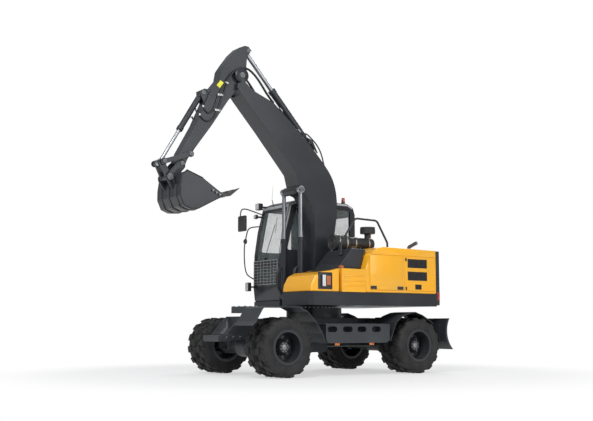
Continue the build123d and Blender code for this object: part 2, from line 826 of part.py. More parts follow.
with BuildPart() as hood_shell:
    add(hood_outer)
    with Locations(((deck_rear_x - 1150) / 2, (240 - deck_side_y) / 2, (deck_top + hood_top - 15) / 2)):
        Box(-1150 - deck_rear_x, 240 + deck_side_y, hood_top - 15 - deck_top)
    add(hood_hollow, mode=Mode.SUBTRACT)
    far_hollow_y = (-deck_side_y + hood_wall, 240 + hood_wall + 1)
    with Locations((
        (deck_rear_x - 1150) / 2,
        sum(far_hollow_y) / 2,
        (deck_top + hood_top - 15 - hood_wall) / 2,
    )):
        Box(
            -1150 - deck_rear_x - 2 * hood_wall,
            far_hollow_y[1] - far_hollow_y[0],
            hood_top - 15 - hood_wall - deck_top,
            mode=Mode.SUBTRACT,
        )
    for x_from, x_to in (side_door_x, grille_door_x):
        with BuildSketch(side_plane(deck_side_y)):
            with Locations(((x_from + x_to) / 2, sum(door_z) / 2)):
                Rectangle(x_to - x_from, door_z[1] - door_z[0])
        extrude(amount=door_leaf + seat_gap, mode=Mode.SUBTRACT)
        with BuildSketch(side_plane(deck_side_y)):
            with Locations(((x_from + x_to) / 2, sum(door_z) / 2)):
                Rectangle(x_to - x_from - 2 * rebate, door_z[1] - door_z[0] - 2 * rebate)
        extrude(amount=hood_wall + 1, mode=Mode.SUBTRACT)
    for level, margin in ((lid_low - seat_gap, 0), (hood_top - 60, rebate)):
        with BuildSketch(Plane.XY.offset(level)):
            with Locations((sum(lid_x) / 2, sum(lid_y) / 2)):
                Rectangle(lid_x[1] - lid_x[0] - 2 * margin, lid_y[1] - lid_y[0] - 2 * margin)
        extrude(amount=90, mode=Mode.SUBTRACT)
hood_shell.part.label = "hood_shell"
export_step(hood_shell.part, "parts/hood_shell.step")

# Hood lid: closes the top opening
with BuildPart() as hood_lid:
    with Locations((sum(lid_x) / 2, sum(lid_y) / 2, lid_low + 20)):
        Box(lid_x[1] - lid_x[0] - 2 * door_gap, lid_y[1] - lid_y[0] - 2 * door_gap, 40)
hood_lid.part.label = "hood_lid"
export_step(hood_lid.part, "parts/hood_lid.step")

# Side doors: the plain one and the one with the air grilles
grilles = (
    (-1514.0, -1092.0, 1708.0, 1853.0),
    (-1514.0, -1092.0, 1502.0, 1647.0),
    (-1389.0, -1251.0, 1357.0, 1440.0),
)
door_middle_z = sum(door_z) / 2
door_height = door_z[1] - door_z[0] - 2 * door_gap
with BuildPart() as side_door:
    with Locations((sum(side_door_x) / 2, deck_side_y - door_leaf / 2, door_middle_z)):
        Box(side_door_x[1] - side_door_x[0] - 2 * door_gap, door_leaf, door_height)
side_door.part.label = "side_door"
export_step(side_door.part, "parts/side_door.step")
with BuildPart() as grille_door:
    with Locations((sum(grille_door_x) / 2, deck_side_y - door_leaf / 2, door_middle_z)):
        Box(grille_door_x[1] - grille_door_x[0] - 2 * door_gap, door_leaf, door_height)
    for x_from, x_to, z_from, z_to in grilles:
        with Locations(((x_from + x_to) / 2, deck_side_y - 4, (z_from + z_to) / 2)):
            Box(x_to - x_from, 12, z_to - z_from, mode=Mode.SUBTRACT)
grille_door.part.label = "grille_door"
export_step(grille_door.part, "parts/grille_door.step")

# Engine: one plain block on the deck
with BuildPart() as engine_block:
    with Locations((-1430, -50, deck_top + 280)):
        Box(460, 1100, 560)
engine_block.part.label = "engine_block"
export_step(engine_block.part, "parts/engine_block.step")

# Nose box: the rounded box in front, with a recess for its lamp
nose_box_profile = [
    (306, deck_top),
    (306, 1655),
    (446, 1618),
    (644, 1593),
    (765, 1532),
    (840, 1398),
    (deck_front_x, deck_top),
]
nose_box_part = plate(nose_box_profile, box_inner_y + 10, deck_side_y)
with BuildPart() as nose_box:
    add(nose_box_part)
nose_box.part.label = "nose_box"
export_step(nose_box.part, "parts/nose_box.step")

# Tank box: the square box between the nose box and the hood
tank_part = plate(
    [(hood_front_x + 1, deck_top), (hood_front_x + 1, 1655), (259, 1655), (259, deck_top)],
    box_inner_y + 10,
    deck_side_y,
)
with BuildPart() as tank_box:
    add(tank_part)
tank_box.part.label = "tank_box"
export_step(tank_box.part, "parts/tank_box.step")

# Boom cover: the dark sloping cover over the tank, beside the boom
cover_top = 1985.0
cover_part = plate(
    [(-300, 1655), (240, 1655), (200, 1720), (-40, cover_top), (-330, cover_top), (-260, 1850)],
    box_inner_y + 10,
    980,
)
with BuildPart() as boom_cover:
    add(cover_part)
    add(hood_outer, mode=Mode.SUBTRACT)
boom_cover.part.label = "boom_cover"
export_step(boom_cover.part, "parts/boom_cover.step")

# Air cleaner: two canisters and the mushroom cap of the intake
with BuildPart() as air_cleaner:
    for x_from, x_to, y, z, radius in (
        (-330, -40, 470, cover_top + 130 + seat_gap, 130),
        (-900, -420, 400, hood_top + 98 + seat_gap, 98),
    ):
        with BuildSketch(Plane(origin=(x_from, y, z), x_dir=(0, 1, 0), z_dir=(1, 0, 0))):
            Circle(radius)
        extrude(amount=x_to - x_from)
    for x, y, z_from, z_to in (
        (-250, 470, cover_top, cover_top + 60),
        (-120, 470, cover_top, cover_top + 60),
        (-820, 400, hood_top - 2.6, hood_top + 60),
        (-620, 400, hood_top, hood_top + 60),
    ):
        with BuildSketch(Plane.XY.offset(z_from + seat_gap)):
            with Locations((x, y)):
                Rectangle(40, 150)
        extrude(amount=z_to - z_from)
    with BuildSketch(Plane.XY.offset(hood_top + 150)):
        with Locations((-830, 400)):
            Circle(55)
    extrude(amount=160)
    with BuildSketch(Plane.XY.offset(2304)):
        with Locations((-830, 400)):
            Circle(125)
    extrude(amount=110)
air_cleaner.part.label = "air_cleaner"
export_step(air_cleaner.part, "parts/air_cleaner.step")

# Exhaust: a slanted pipe out of the hood
with BuildPart() as exhaust:
    with BuildLine() as exhaust_line:
        FilletPolyline((-1480, 700, hood_top - 10.8), (-1480, 700, 2090), (-1650, 700, 2170), radius=40)
    with BuildSketch(Plane(origin=exhaust_line.line @ 0, z_dir=exhaust_line.line % 0)):
        Circle(30)
    sweep(path=exhaust_line.line)
exhaust.part.label = "exhaust"
export_step(exhaust.part, "parts/exhaust.step")

# Handrail: the hoop over the hood
handrail_y = 830.0
hoop_points = [
    (64, 1890),
    (64, 2077),
    (-226, 2490),
    (-675, 2479),
    (-896, 2126),
    (-896, hood_top + seat_gap),
]
hoop = tube(hoop_points, 17, 90, handrail_y)
with BuildPart() as handrail:
    add(hoop)
handrail.part.label = "handrail"
export_step(handrail.part, "parts/handrail.step")

# Cab: a hollow shell, open at its windows and its door
cab_wall = 45.0
cab_profile = [
    (440, deck_floor),
    (469, 1414),
    (454, 1968),
    (389, 2382),
    (309, 2675),
    (277, 2823),
    (82, 2900),
    (-955, 2900),
    (-1079, 2839),
    (-1125, 2712),
    (-1125, deck_floor),
]
cab_hollow = [
    (390, deck_floor + cab_wall),
    (420, 1414),
    (407, 1960),
    (343, 2370),
    (262, 2665),
    (236, 2790),
    (72, 2855),
    (-945, 2855),
    (-1045, 2805),
    (-1080, 2700),
    (-1080, deck_floor + cab_wall),
]
window_side = [(330, 2035), (160, 2780), (-380, 2780), (-380, 2035)]
window_side_rear = [(-460, 2035), (-460, 2780), (-1000, 2780), (-1000, 2035)]
door_outline = [(350, 1300), (372, 1960), (200, 2790), (-380, 2790), (-380, 1300)]
cab_outer_part = plate(cab_profile, cab_outer_y, cab_inner_y)
cab_hollow_part = plate(cab_hollow, cab_outer_y + cab_wall, cab_inner_y - cab_wall)
door_way = [(322, 1330), (342, 1955), (180, 2762), (-352, 2762), (-352, 1330)]
cab_door_leaf = 30.0
door_window = [(315, 2035), (168, 2740), (-330, 2740), (-330, 2035)]
cuts = [
    plate(window_side, cab_inner_y - cab_wall - 5, cab_inner_y + 5, 30),
    plate(window_side_rear, cab_inner_y - cab_wall - 5, cab_inner_y + 5, 30),
    plate(window_side_rear, cab_outer_y - 5, cab_outer_y + cab_wall + 5, 30),
    plate(door_outline, cab_outer_y - 5, cab_outer_y + cab_door_leaf + seat_gap, 30),
    plate(door_way, cab_outer_y - 5, cab_outer_y + cab_wall + 5, 30),
]
cab_middle_y = (cab_inner_y + cab_outer_y) / 2
with BuildPart() as cab_frame:
    add(cab_outer_part)
    add(cab_hollow_part, mode=Mode.SUBTRACT)
    add(cuts, mode=Mode.SUBTRACT)
    with Locations((400, cab_middle_y, 2290)):
        Box(300, 730, 900, mode=Mode.SUBTRACT)
    with Locations((430, cab_middle_y, 1600)):
        Box(120, 700, 380, mode=Mode.SUBTRACT)
    with Locations((-1100, cab_middle_y, 2400)):
        Box(100, 650, 600, mode=Mode.SUBTRACT)
cab_frame.part.label = "cab_frame"
export_step(cab_frame.part, "parts/cab_frame.step")

# Cab glass: the fixed panes, each set in its opening
pane = 6.0
with BuildPart() as cab_glass:
    add(plate(window_side, cab_inner_y - 20 - pane, cab_inner_y - 20, 30))
    add(plate(window_side_rear, cab_inner_y - 20 - pane, cab_inner_y - 20, 30))
    add(plate(window_side_rear, cab_outer_y + 20, cab_outer_y + 20 + pane, 30))
    with Locations((-1100, cab_middle_y, 2400)):
        Box(pane, 650, 600)
cab_glass.part.label = "cab_glass"
export_step(cab_glass.part, "parts/cab_glass.step")

# Cab door on the far side, with its window
cab_door_outline = [(344, 1306), (366, 1960), (195, 2784), (-374, 2784), (-374, 1306)]
with BuildPart() as cab_door:
    add(plate(cab_door_outline, cab_outer_y, cab_outer_y + cab_door_leaf, 24))
    add(plate(door_window, cab_outer_y - 5, cab_outer_y + cab_wall + 5, 30), mode=Mode.SUBTRACT)
cab_door.part.label = "cab_door"
export_step(cab_door.part, "parts/cab_door.step")
with BuildPart() as door_glass:
    add(plate(door_window, cab_outer_y + 12, cab_outer_y + 12 + pane, 30))
door_glass.part.label = "door_glass"
export_step(door_glass.part, "parts/door_glass.step")

# Seat
seat_x = -420.0
with BuildPart() as cab_seat:
    with Locations((seat_x, cab_middle_y, (deck_floor + cab_wall + 1600) / 2)):
        Box(300, 300, 1600 - deck_floor - cab_wall)
    with Locations((seat_x, cab_middle_y, 1660)):
        Box(500, 480, 120)
    with Locations((seat_x - 240, cab_middle_y, 1990)):
        Box(110, 460, 620)
cab_seat.part.label = "cab_seat"
export_step(cab_seat.part, "parts/cab_seat.step")

# Controls: side consoles and the steering column
with BuildPart() as cab_controls:
    for side in (-1, 1):
        with Locations((-330, cab_middle_y + side * 310, (deck_floor + cab_wall + 1780) / 2)):
            Box(420, 90, 1780 - deck_floor - cab_wall)
    with BuildSketch(Plane(origin=(150, cab_middle_y, deck_floor + cab_wall + 10), z_dir=(-0.25, 0, 1))):
        Circle(40)
    extrude(amount=660)
    with BuildSketch(Plane(origin=(-10, cab_middle_y, 1870), z_dir=(-0.4, 0, 1))):
        Circle(185)
        Circle(160, mode=Mode.SUBTRACT)
    extrude(amount=25)
    with BuildSketch(Plane(origin=(-10, cab_middle_y, 1870), z_dir=(-0.4, 0, 1))):
        Rectangle(330, 30)
    extrude(amount=20)
cab_controls.part.label = "cab_controls"
export_step(cab_controls.part, "parts/cab_controls.step")

# Boom: a gooseneck box with a foot boss, lugs on its back for the arm cylinder and a
# forked nose round the stick's pivot
boom_back = [
    (-195, 1869),
    (-294, 2244),
    (-352, 2599),
    (-344, 2868),
    (-311, 3072),
    (-228, 3271),
    (-30, 3498),
    (293, 3828),
    (961, 4380),
    (1334, 4522),
    (1470, 4640),
]
boom_belly = [
    (1600, 4600),
    (1611, 4520),
    (1480, 4365),
    (1066, 3915),
    (561, 3337),
    (483, 3245),
    (400, 2930),
    (293, 2899),
    (180, 2745),
    (116, 2568),
    (100, 2263),
    (116, 1856),
    (110, 1560),
]
boom_side = plate([(-80, 1560), *boom_back, *boom_belly], -boom_half, boom_half)
nose_slot_radius = 310.0
boom_rod_radius = 32.0
boom_eye_pin_half = boom_cylinder_y - 1.35 * boom_rod_radius - 4
arm_lug_half = 55.0
arm_lug = plate(
    [
        (arm_cylinder_base[0] - 160, arm_cylinder_base[1] - 170),
        (arm_cylinder_base[0] - 50, arm_cylinder_base[1] + 30),
        (arm_cylinder_base[0] + 10, arm_cylinder_base[1] + 62),
        (arm_cylinder_base[0] + 60, arm_cylinder_base[1] + 20),
        (arm_cylinder_base[0] + 200, arm_cylinder_base[1] - 80),
    ],
    arm_lug_half + side_gap,
    arm_lug_half + side_gap + 26,
)
with BuildPart() as boom:
    add(boom_side)
    for point, radius in ((boom_foot, 125), (boom_tip, 118), (boom_eye, 70)):
        add(pin(point, radius, -boom_half, boom_half))
    add(pin(boom_tip, nose_slot_radius, -stick_half - side_gap, stick_half + side_gap), mode=Mode.SUBTRACT)
    add(pin(boom_foot, foot_pin_radius, -foot_cheek_y[1] - 8, foot_cheek_y[1] + 8))
    add(pin(boom_tip, tip_pin_radius, -boom_half - 8, boom_half + 8))
    add(pin(boom_eye, 45, -boom_eye_pin_half, boom_eye_pin_half))
    add(arm_lug)
    add(arm_lug.mirror(Plane.XZ))
    add(pin(arm_cylinder_base, 30, -arm_lug_half - side_gap - 34, arm_lug_half + side_gap + 34))
boom.part.label = "boom"
export_step(boom.part, "parts/boom.step")

# Boom cylinders, one on each side
boom_gland = 968.0
boom_barrel_part = cylinder_barrel(
    boom_cylinder_base, boom_eye, boom_cylinder_y, 46, boom_rod_radius, boom_gland, 80, eye_half_boom, 52, 30
)
boom_rod_part = cylinder_rod(
    boom_cylinder_base,
    boom_eye,
    boom_cylinder_y,
    boom_rod_radius,
    boom_gland - 195,
    eye_half_boom,
    58,
    34,
    boom_cylinder_y - boom_eye_pin_half - 2,
)
with BuildPart() as boom_barrels:
    add(boom_barrel_part)
    mirror(about=Plane.XZ)
boom_barrels.part.label = "boom_barrels"
export_step(boom_barrels.part, "parts/boom_barrels.step")
with BuildPart() as boom_rods:
    add(boom_rod_part)
    mirror(about=Plane.XZ)
boom_rods.part.label = "boom_rods"
export_step(boom_rods.part, "parts/boom_rods.step")

# Arm cylinder over the boom's back
arm_gland = 1080.0
arm_barrel_part = cylinder_barrel(
    arm_cylinder_base, arm_eye, 0, 60, 38, arm_gland, 90, arm_lug_half, 62, 30
)
arm_rod_part = cylinder_rod(arm_cylinder_base, arm_eye, 0, 38, arm_gland - 300, 40, 62, 34, 44)
with BuildPart() as arm_barrel:
    add(arm_barrel_part)
arm_barrel.part.label = "arm_barrel"
export_step(arm_barrel.part, "parts/arm_barrel.step")
with BuildPart() as arm_rod:
    add(arm_rod_part)
arm_rod.part.label = "arm_rod"
export_step(arm_rod.part, "parts/arm_rod.step")

# Stick: a tapered box with the arm cylinder's lugs on top, the bucket cylinder's lugs on
# its back and bosses for its pins
stick_outline = [
    (1406, 4916),
    (1391, 5073),
    (1310, 5190),
    (1365, 5245),
    (1435, 5250),
    (1537, 5203),
    (1653, 5087),
    (1782, 4911),
    (1867, 4783),
    (1895, 4626),
    (2060, 4420),
    (2160, 4189),
    (2311, 3849),
    (2568, 3391),
    (2630, 3230),
    (2560, 3150),
    (2500, 3180),
    (2446, 3300),
    (2311, 3493),
    (2035, 3865),
    (1754, 4284),
    (1567, 4522),
    (1420, 4640),
    (1385, 4760),
]
stick_body = plate(stick_outline, -stick_half, stick_half)
bucket_lug_half = 44.0
bucket_lug = plate(
    [
        (1960, 4440),
        (bucket_cylinder_base[0] - 20, bucket_cylinder_base[1] + 70),
        (bucket_cylinder_base[0] + 52, bucket_cylinder_base[1] + 30),
        (bucket_cylinder_base[0] + 45, bucket_cylinder_base[1] - 45),
        (2120, 4150),
    ],
    bucket_lug_half + side_gap,
    bucket_lug_half + side_gap + 24,
)
clevis_room = plate(
    [(1250, 4995), (1250, 5300), (1475, 5300), (1560, 5120), (1540, 5040), (1490, 4995)],
    -52.0,
    52.0,
)
with BuildPart() as stick:
    add(stick_body)
    add(clevis_room, mode=Mode.SUBTRACT)
    add(bucket_lug)
    add(bucket_lug.mirror(Plane.XZ))
    add(pin(bucket_cylinder_base, 30, -bucket_lug_half - side_gap - 30, bucket_lug_half + side_gap + 30))
    add(pin(boom_tip, tip_pin_radius + running_gap, -stick_half, stick_half), mode=Mode.SUBTRACT)
    add(pin(stick_end, link_pin + running_gap, -stick_half, stick_half), mode=Mode.SUBTRACT)
    add(pin(rocker_pivot, link_pin, -rocker_y[1] - 6, rocker_y[1] + 6))
stick.part.label = "stick"
export_step(stick.part, "parts/stick.step")

# Rocker arms: a pair of flat arms outside the stick, with the pin of the cylinder's rod
rocker_bar = bar_link(rocker_pivot, rocker_tip, 50, 70, rocker_y[0], rocker_y[1])
with BuildPart() as rocker_arms:
    add(rocker_bar)
    add(pin(rocker_pivot, link_pin + running_gap, rocker_y[0], rocker_y[1]), mode=Mode.SUBTRACT)
    add(pin(rocker_tip, link_pin, 58, rocker_y[1] + 8))
    mirror(about=Plane.XZ)
rocker_arms.part.label = "rocker_arms"
export_step(rocker_arms.part, "parts/rocker_arms.step")

# Bucket link: two cheeks and a web, from the rod's pin to the bucket
link_cheek = bar_link(rocker_tip, bucket_link_pin, 50, 80, 62, 108)
with BuildPart() as bucket_link:
    add(link_cheek)
    add(link_cheek.mirror(Plane.XZ))
    add(pin(bucket_link_pin, 44, -108, 108))
    for y_from, y_to in ((62, 108), (-108, -62)):
        add(pin(rocker_tip, link_pin + running_gap, y_from, y_to), mode=Mode.SUBTRACT)
bucket_link.part.label = "bucket_link"
export_step(bucket_link.part, "parts/bucket_link.step")

# Bucket cylinder
bucket_gland = 738.0
bucket_barrel_part = cylinder_barrel(
    bucket_cylinder_base, rocker_tip, 0, 46, 27, bucket_gland, 75, bucket_lug_half, 52, 30
)
bucket_rod_part = cylinder_rod(bucket_cylinder_base, rocker_tip, 0, 27, bucket_gland - 98, 38, 52, 30, 50)
with BuildPart() as bucket_barrel:
    add(bucket_barrel_part)
bucket_barrel.part.label = "bucket_barrel"
export_step(bucket_barrel.part, "parts/bucket_barrel.step")
with BuildPart() as bucket_rod:
    add(bucket_rod_part)
bucket_rod.part.label = "bucket_rod"
export_step(bucket_rod.part, "parts/bucket_rod.step")

# Bucket: a curved shell between two side plates, with ears, side cutters and teeth
bucket_outline = [
    (2600, 3085),
    (2685, 3010),
    (2712, 2826),
    (2712, 2681),
    (2647, 2541),
    (2528, 2495),
    (2395, 2504),
    (2191, 2612),
    (1985, 2721),
    (1970, 2765),
    (2327, 2988),
]
bucket_hollow_outline = [
    (2600, 3125),
    (2665, 3000),
    (2692, 2826),
    (2692, 2684),
    (2632, 2558),
    (2526, 2516),
    (2400, 2525),
    (2200, 2632),
    (1940, 2768),
    (2000, 2900),
    (2327, 3060),
]
ear = plate(
    [
        (2640, 3000),
        (stick_end[0] - 52, stick_end[1] - 60),
        (stick_end[0] - 58, stick_end[1] + 20),
        (stick_end[0], stick_end[1] + 60),
        (stick_end[0] + 60, stick_end[1] + 30),
        (bucket_link_pin[0] + 56, bucket_link_pin[1] + 26),
        (bucket_link_pin[0] + 52, bucket_link_pin[1] - 40),
        (2705, 2790),
        (2697, 2850),
    ],
    ear_y[0],
    ear_y[1],
)
tooth = plate([(2010, 2712), (1990, 2760), (1676, 2878), (1840, 2745)], -26, 26)
tooth_count = 5
with BuildPart() as bucket:
    add(plate(bucket_outline, -bucket_half, bucket_half))
    add(
        plate(bucket_hollow_outline, -bucket_half + bucket_wall, bucket_half - bucket_wall),
        mode=Mode.SUBTRACT,
    )
    add(ear)
    add(ear.mirror(Plane.XZ))
    add(pin(stick_end, link_pin, -ear_y[1] - 8, ear_y[1] + 8))
    for y_from, y_to in ((ear_y[0], ear_y[1] + 10), (-ear_y[1] - 10, -ear_y[0])):
        add(pin(bucket_link_pin, 48, y_from, y_to))
    for count in range(tooth_count):
        tooth_y = (count / (tooth_count - 1) - 0.5) * 2 * (bucket_half - 40)
        add(tooth.translate((0, tooth_y, 0)))
bucket.part.label = "bucket"
export_step(bucket.part, "parts/bucket.step")
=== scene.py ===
import json
import math

import bmesh
import bpy
from mathutils import Matrix, Vector


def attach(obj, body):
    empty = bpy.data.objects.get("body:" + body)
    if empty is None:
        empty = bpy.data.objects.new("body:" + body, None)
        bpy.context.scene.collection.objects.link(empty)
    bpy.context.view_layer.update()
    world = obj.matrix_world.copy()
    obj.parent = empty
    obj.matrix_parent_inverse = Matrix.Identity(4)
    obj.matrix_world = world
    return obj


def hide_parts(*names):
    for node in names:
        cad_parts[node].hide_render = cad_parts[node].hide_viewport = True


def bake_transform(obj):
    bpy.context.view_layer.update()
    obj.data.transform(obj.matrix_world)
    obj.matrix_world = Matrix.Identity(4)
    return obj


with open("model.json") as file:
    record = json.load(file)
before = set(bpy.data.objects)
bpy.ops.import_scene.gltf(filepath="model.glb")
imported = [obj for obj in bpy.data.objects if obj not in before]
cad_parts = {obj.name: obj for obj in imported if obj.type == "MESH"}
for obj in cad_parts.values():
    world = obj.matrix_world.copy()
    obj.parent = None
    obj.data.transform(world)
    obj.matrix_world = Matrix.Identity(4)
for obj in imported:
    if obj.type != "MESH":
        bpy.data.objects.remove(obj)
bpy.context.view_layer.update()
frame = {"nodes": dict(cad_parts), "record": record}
nodes = frame["nodes"]
scene = bpy.context.scene


# Shader maths: a wire is one output socket, and an expression on wires adds Math nodes
class Wire:
    def __init__(self, finish, socket):
        self.finish = finish
        self.socket = socket

    def combine(self, operation, first, second):
        return self.finish.node("ShaderNodeMath", {"operation": operation}, {0: first, 1: second})

    def __add__(self, other):
        return self.combine("ADD", self, other)

    def __radd__(self, other):
        return self.combine("ADD", other, self)

    def __sub__(self, other):
        return self.combine("SUBTRACT", self, other)

    def __rsub__(self, other):
        return self.combine("SUBTRACT", other, self)

    def __mul__(self, other):
        return self.combine("MULTIPLY", self, other)

    def above(self, level, soft=0.05):
        # 0 below the level and 1 above it, with a soft step between
        ramp = {"interpolation_type": "SMOOTHSTEP"}
        values = {"Value": self, "From Min": level - soft, "From Max": level + soft}
        return self.finish.node("ShaderNodeMapRange", ramp, values)


class Finish:
    def __init__(self, name):
        self.material = bpy.data.materials.new(name)
        self.material.use_nodes = True
        self.tree = self.material.node_tree
        self.shader = self.tree.nodes["Principled BSDF"]
        self.place = self.node("ShaderNodeTexCoord", {}, {}, "Object")

    def join(self, value, socket):
        # a wire is linked, and a constant is set on the socket itself
        if isinstance(value, Wire):
            self.tree.links.new(value.socket, socket)
        else:
            socket.default_value = value

    def node(self, kind, settings, values, output=0):
        made = self.tree.nodes.new(kind)
        for key, value in settings.items():
            setattr(made, key, value)
        for key, value in values.items():
            self.join(value, made.inputs[key])
        return Wire(self, made.outputs[output])

    def set(self, socket, value):
        self.join(value, self.shader.inputs[socket])

    def noise(self, scale, detail=3.0, roughness=0.55, stretch=None):
        place = self.place
        if stretch:
            place = self.node("ShaderNodeMapping", {}, {"Vector": place, "Scale": stretch})
        values = {"Vector": place, "Scale": scale, "Detail": detail, "Roughness": roughness}
        return self.node("ShaderNodeTexNoise", {}, values)

    def specks(self, scale, size):
        # small round specks, 1 inside one
        cell = self.node("ShaderNodeTexVoronoi", {}, {"Vector": self.place, "Scale": scale}, "Distance")
        return 1 - cell.above(size, size * 0.4)

    def height(self):
        return self.node("ShaderNodeSeparateXYZ", {}, {"Vector": self.place}, "Z")

    def facing(self):
        # how far the surface looks up
        normal = self.node("ShaderNodeNewGeometry", {}, {}, "Normal")
        return self.node("ShaderNodeSeparateXYZ", {}, {"Vector": normal}, "Z")

    def blend(self, factor, first, second):
        mixed = self.tree.nodes.new("ShaderNodeMix")
        mixed.data_type = "RGBA"
        self.join(factor, mixed.inputs[0])
        for colour, socket in ((first, mixed.inputs[6]), (second, mixed.inputs[7])):
            self.join(colour if isinstance(colour, Wire) else (*colour, 1.0), socket)
        return Wire(self, mixed.outputs[2])

    def bump(self, height, strength=0.2, distance=0.001):
        values = {"Height": height, "Strength": strength, "Distance": distance}
        self.set("Normal", self.node("ShaderNodeBump", {}, values, "Normal"))


paintLook = {
    "yellow": (0.95, 0.44, 0.006),
    "yellowFaded": (0.86, 0.42, 0.020),
    "charcoal": (0.019, 0.0215, 0.026),
    "charcoalWorn": (0.027, 0.030, 0.036),
    "dust": (0.17, 0.165, 0.155),
    "primer": (0.16, 0.15, 0.14),
    "dustTop": 1.0,
}


def paintFinish(name, colour, worn, roughness, dustAmount, coat, specular=0.5):
    paint = Finish(name)
    broad = paint.noise(1.7, 4.0)
    fine = paint.noise(55.0, 5.0, 0.6)
    base = paint.blend(broad.above(0.52, 0.16), colour, worn)
    low = 1 - paint.height().above(paintLook["dustTop"] * 0.55, 0.55)
    up = paint.facing().above(0.6, 0.35)
    dust = (low * 0.6 + up * 0.35) * (broad * 0.7 + fine * 0.6) * dustAmount
    chips = paint.specks(26.0, 0.035) * paint.noise(3.3, 2.0).above(0.56, 0.03)
    base = paint.blend(chips * 0.8, base, paintLook["primer"])
    base = paint.blend(dust, base, paintLook["dust"])
    paint.set("Base Color", base)
    paint.set("Roughness", roughness + dust * 0.4 + fine * 0.07)
    paint.set("Metallic", 0.0)
    paint.set("Coat Weight", coat)
    paint.set("Specular IOR Level", specular)
    paint.set("Coat Roughness", 0.12)
    peel = paint.noise(190.0, 2.0) * 0.35 + broad * 0.65 - chips * 0.5
    paint.bump(peel, 0.10, 0.002)
    return paint.material


yellowPaint = paintFinish("yellowPaint", paintLook["yellow"], paintLook["yellowFaded"], 0.28, 0.10, 0.40)
charcoalPaint = paintFinish(
    "charcoalPaint", paintLook["charcoal"], paintLook["charcoalWorn"], 0.32, 0.18, 0.14, 0.32
)
framePaint = paintFinish("framePaint", (0.024, 0.028, 0.033), (0.036, 0.041, 0.047), 0.38, 0.30, 0.10, 0.35)
# a lighter copy of the slate frame paint: a painted highlight on the rims' rolled lips and grooves and on the
# pin caps
slateHighlight = paintFinish("slateHighlight", (0.105, 0.112, 0.122), (0.140, 0.148, 0.158), 0.36, 0.30, 0.10)


def tyreFinish():
    rubber = Finish("tyreRubber")
    fine = rubber.noise(90.0, 6.0, 0.65)
    broad = rubber.noise(6.0, 4.0)
    dust = (broad.above(0.45, 0.18) * 0.35 + fine * 0.22) * 0.8
    rubber.set("Base Color", rubber.blend(dust, (0.013, 0.013, 0.0135), (0.062, 0.061, 0.059)))
    rubber.set("Roughness", 0.62 + fine * 0.2)
    rubber.set("Specular IOR Level", 0.3)
    rubber.bump(fine + broad * 0.4, 0.22, 0.002)
    return rubber.material


tyreRubber = tyreFinish()


def steelFinish(name, colour, metallic, roughness, grain):
    steel = Finish(name)
    streak = steel.noise(14.0, 6.0, 0.6, grain)
    fine = steel.noise(160.0, 3.0)
    darker = tuple(share * 0.62 for share in colour)
    steel.set("Base Color", steel.blend(streak.above(0.5, 0.2) * 0.4, colour, darker))
    steel.set("Metallic", metallic)
    steel.set("Roughness", roughness + streak * 0.12 + fine * 0.05)
    steel.bump(streak * 0.5 + fine * 0.5, 0.06, 0.001)
    return steel.material


chromeRod = steelFinish("chromeRod", (0.36, 0.37, 0.39), 1.0, 0.20, (1.0, 1.0, 0.2))
zincSteel = steelFinish("zincSteel", (0.50, 0.50, 0.49), 0.9, 0.30, (1.0, 1.0, 1.0))
wornSteel = steelFinish("wornSteel", (0.30, 0.295, 0.29), 0.75, 0.38, (1.0, 3.0, 1.0))
toothSteel = steelFinish("toothSteel", (0.070, 0.070, 0.071), 0.45, 0.42, (1.0, 3.0, 1.0))
castIron = steelFinish("castIron", (0.075, 0.072, 0.070), 0.3, 0.55, (1.0, 1.0, 1.0))


def plainFinish(name, colour, roughness, grain, strength, metallic=0.0):
    moulded = Finish(name)
    fine = moulded.noise(grain, 4.0)
    broad = moulded.noise(4.0, 3.0)
    scuffed = tuple(share * 1.5 + 0.012 for share in colour)
    moulded.set("Base Color", moulded.blend(broad * 0.5 + fine * 0.2, colour, scuffed))
    moulded.set("Roughness", roughness + fine * 0.12)
    moulded.set("Metallic", metallic)
    moulded.bump(fine, strength, 0.001)
    return moulded.material


blackPlastic = plainFinish("blackPlastic", (0.018, 0.018, 0.019), 0.48, 220.0, 0.15)
hoseRubber = plainFinish("hoseRubber", (0.014, 0.014, 0.015), 0.42, 120.0, 0.12)
limePlate = plainFinish("limePlate", (0.62, 0.60, 0.030), 0.40, 150.0, 0.05)
rustCap = plainFinish("rustCap", (0.36, 0.105, 0.030), 0.50, 150.0, 0.08)
mirrorGlass = plainFinish("mirrorGlass", (0.70, 0.72, 0.74), 0.06, 40.0, 0.01, 1.0)
# silver, for the lamps' real dishes and for the painted highlight on the cab's pillar
silverAndHighlight = plainFinish("silverAndHighlight", (0.42, 0.43, 0.44), 0.32, 150.0, 0.05, 0.35)


def glassFinish(name, tint, alpha):
    pane = Finish(name)
    smear = pane.noise(5.0, 5.0, 0.6)
    pane.set("Base Color", pane.blend(smear * 0.5, tint, tuple(share * 0.8 for share in tint)))
    pane.set("Roughness", 0.03 + smear.above(0.55, 0.15) * 0.10)
    pane.set("Alpha", alpha + smear.above(0.6, 0.12) * 0.06)
    pane.set("Coat Weight", 0.5)
    return pane.material


tintedGlass = glassFinish("tintedGlass", (0.30, 0.36, 0.35), 0.17)
lampLens = glassFinish("lampLens", (0.85, 0.86, 0.86), 0.75)
amberLens = glassFinish("amberLens", (0.62, 0.16, 0.02), 0.90)
redLens = glassFinish("redLens", (0.45, 0.02, 0.015), 0.90)


def clothFinish():
    cloth = Finish("seatCloth")
    weave = cloth.node(
        "ShaderNodeTexWave", {"wave_type": "BANDS", "bands_direction": "DIAGONAL"},
        {"Vector": cloth.place, "Scale": 130.0, "Distortion": 1.0},
    )
    broad = cloth.noise(9.0, 3.0)
    dark, worn = (0.020, 0.021, 0.024), (0.060, 0.062, 0.068)
    cloth.set("Base Color", cloth.blend(weave * 0.5 + broad * 0.4, dark, worn))
    cloth.set("Roughness", 0.80 + broad * 0.15)
    cloth.set("Sheen Weight", 0.3)
    cloth.bump(weave, 0.3, 0.001)
    return cloth.material


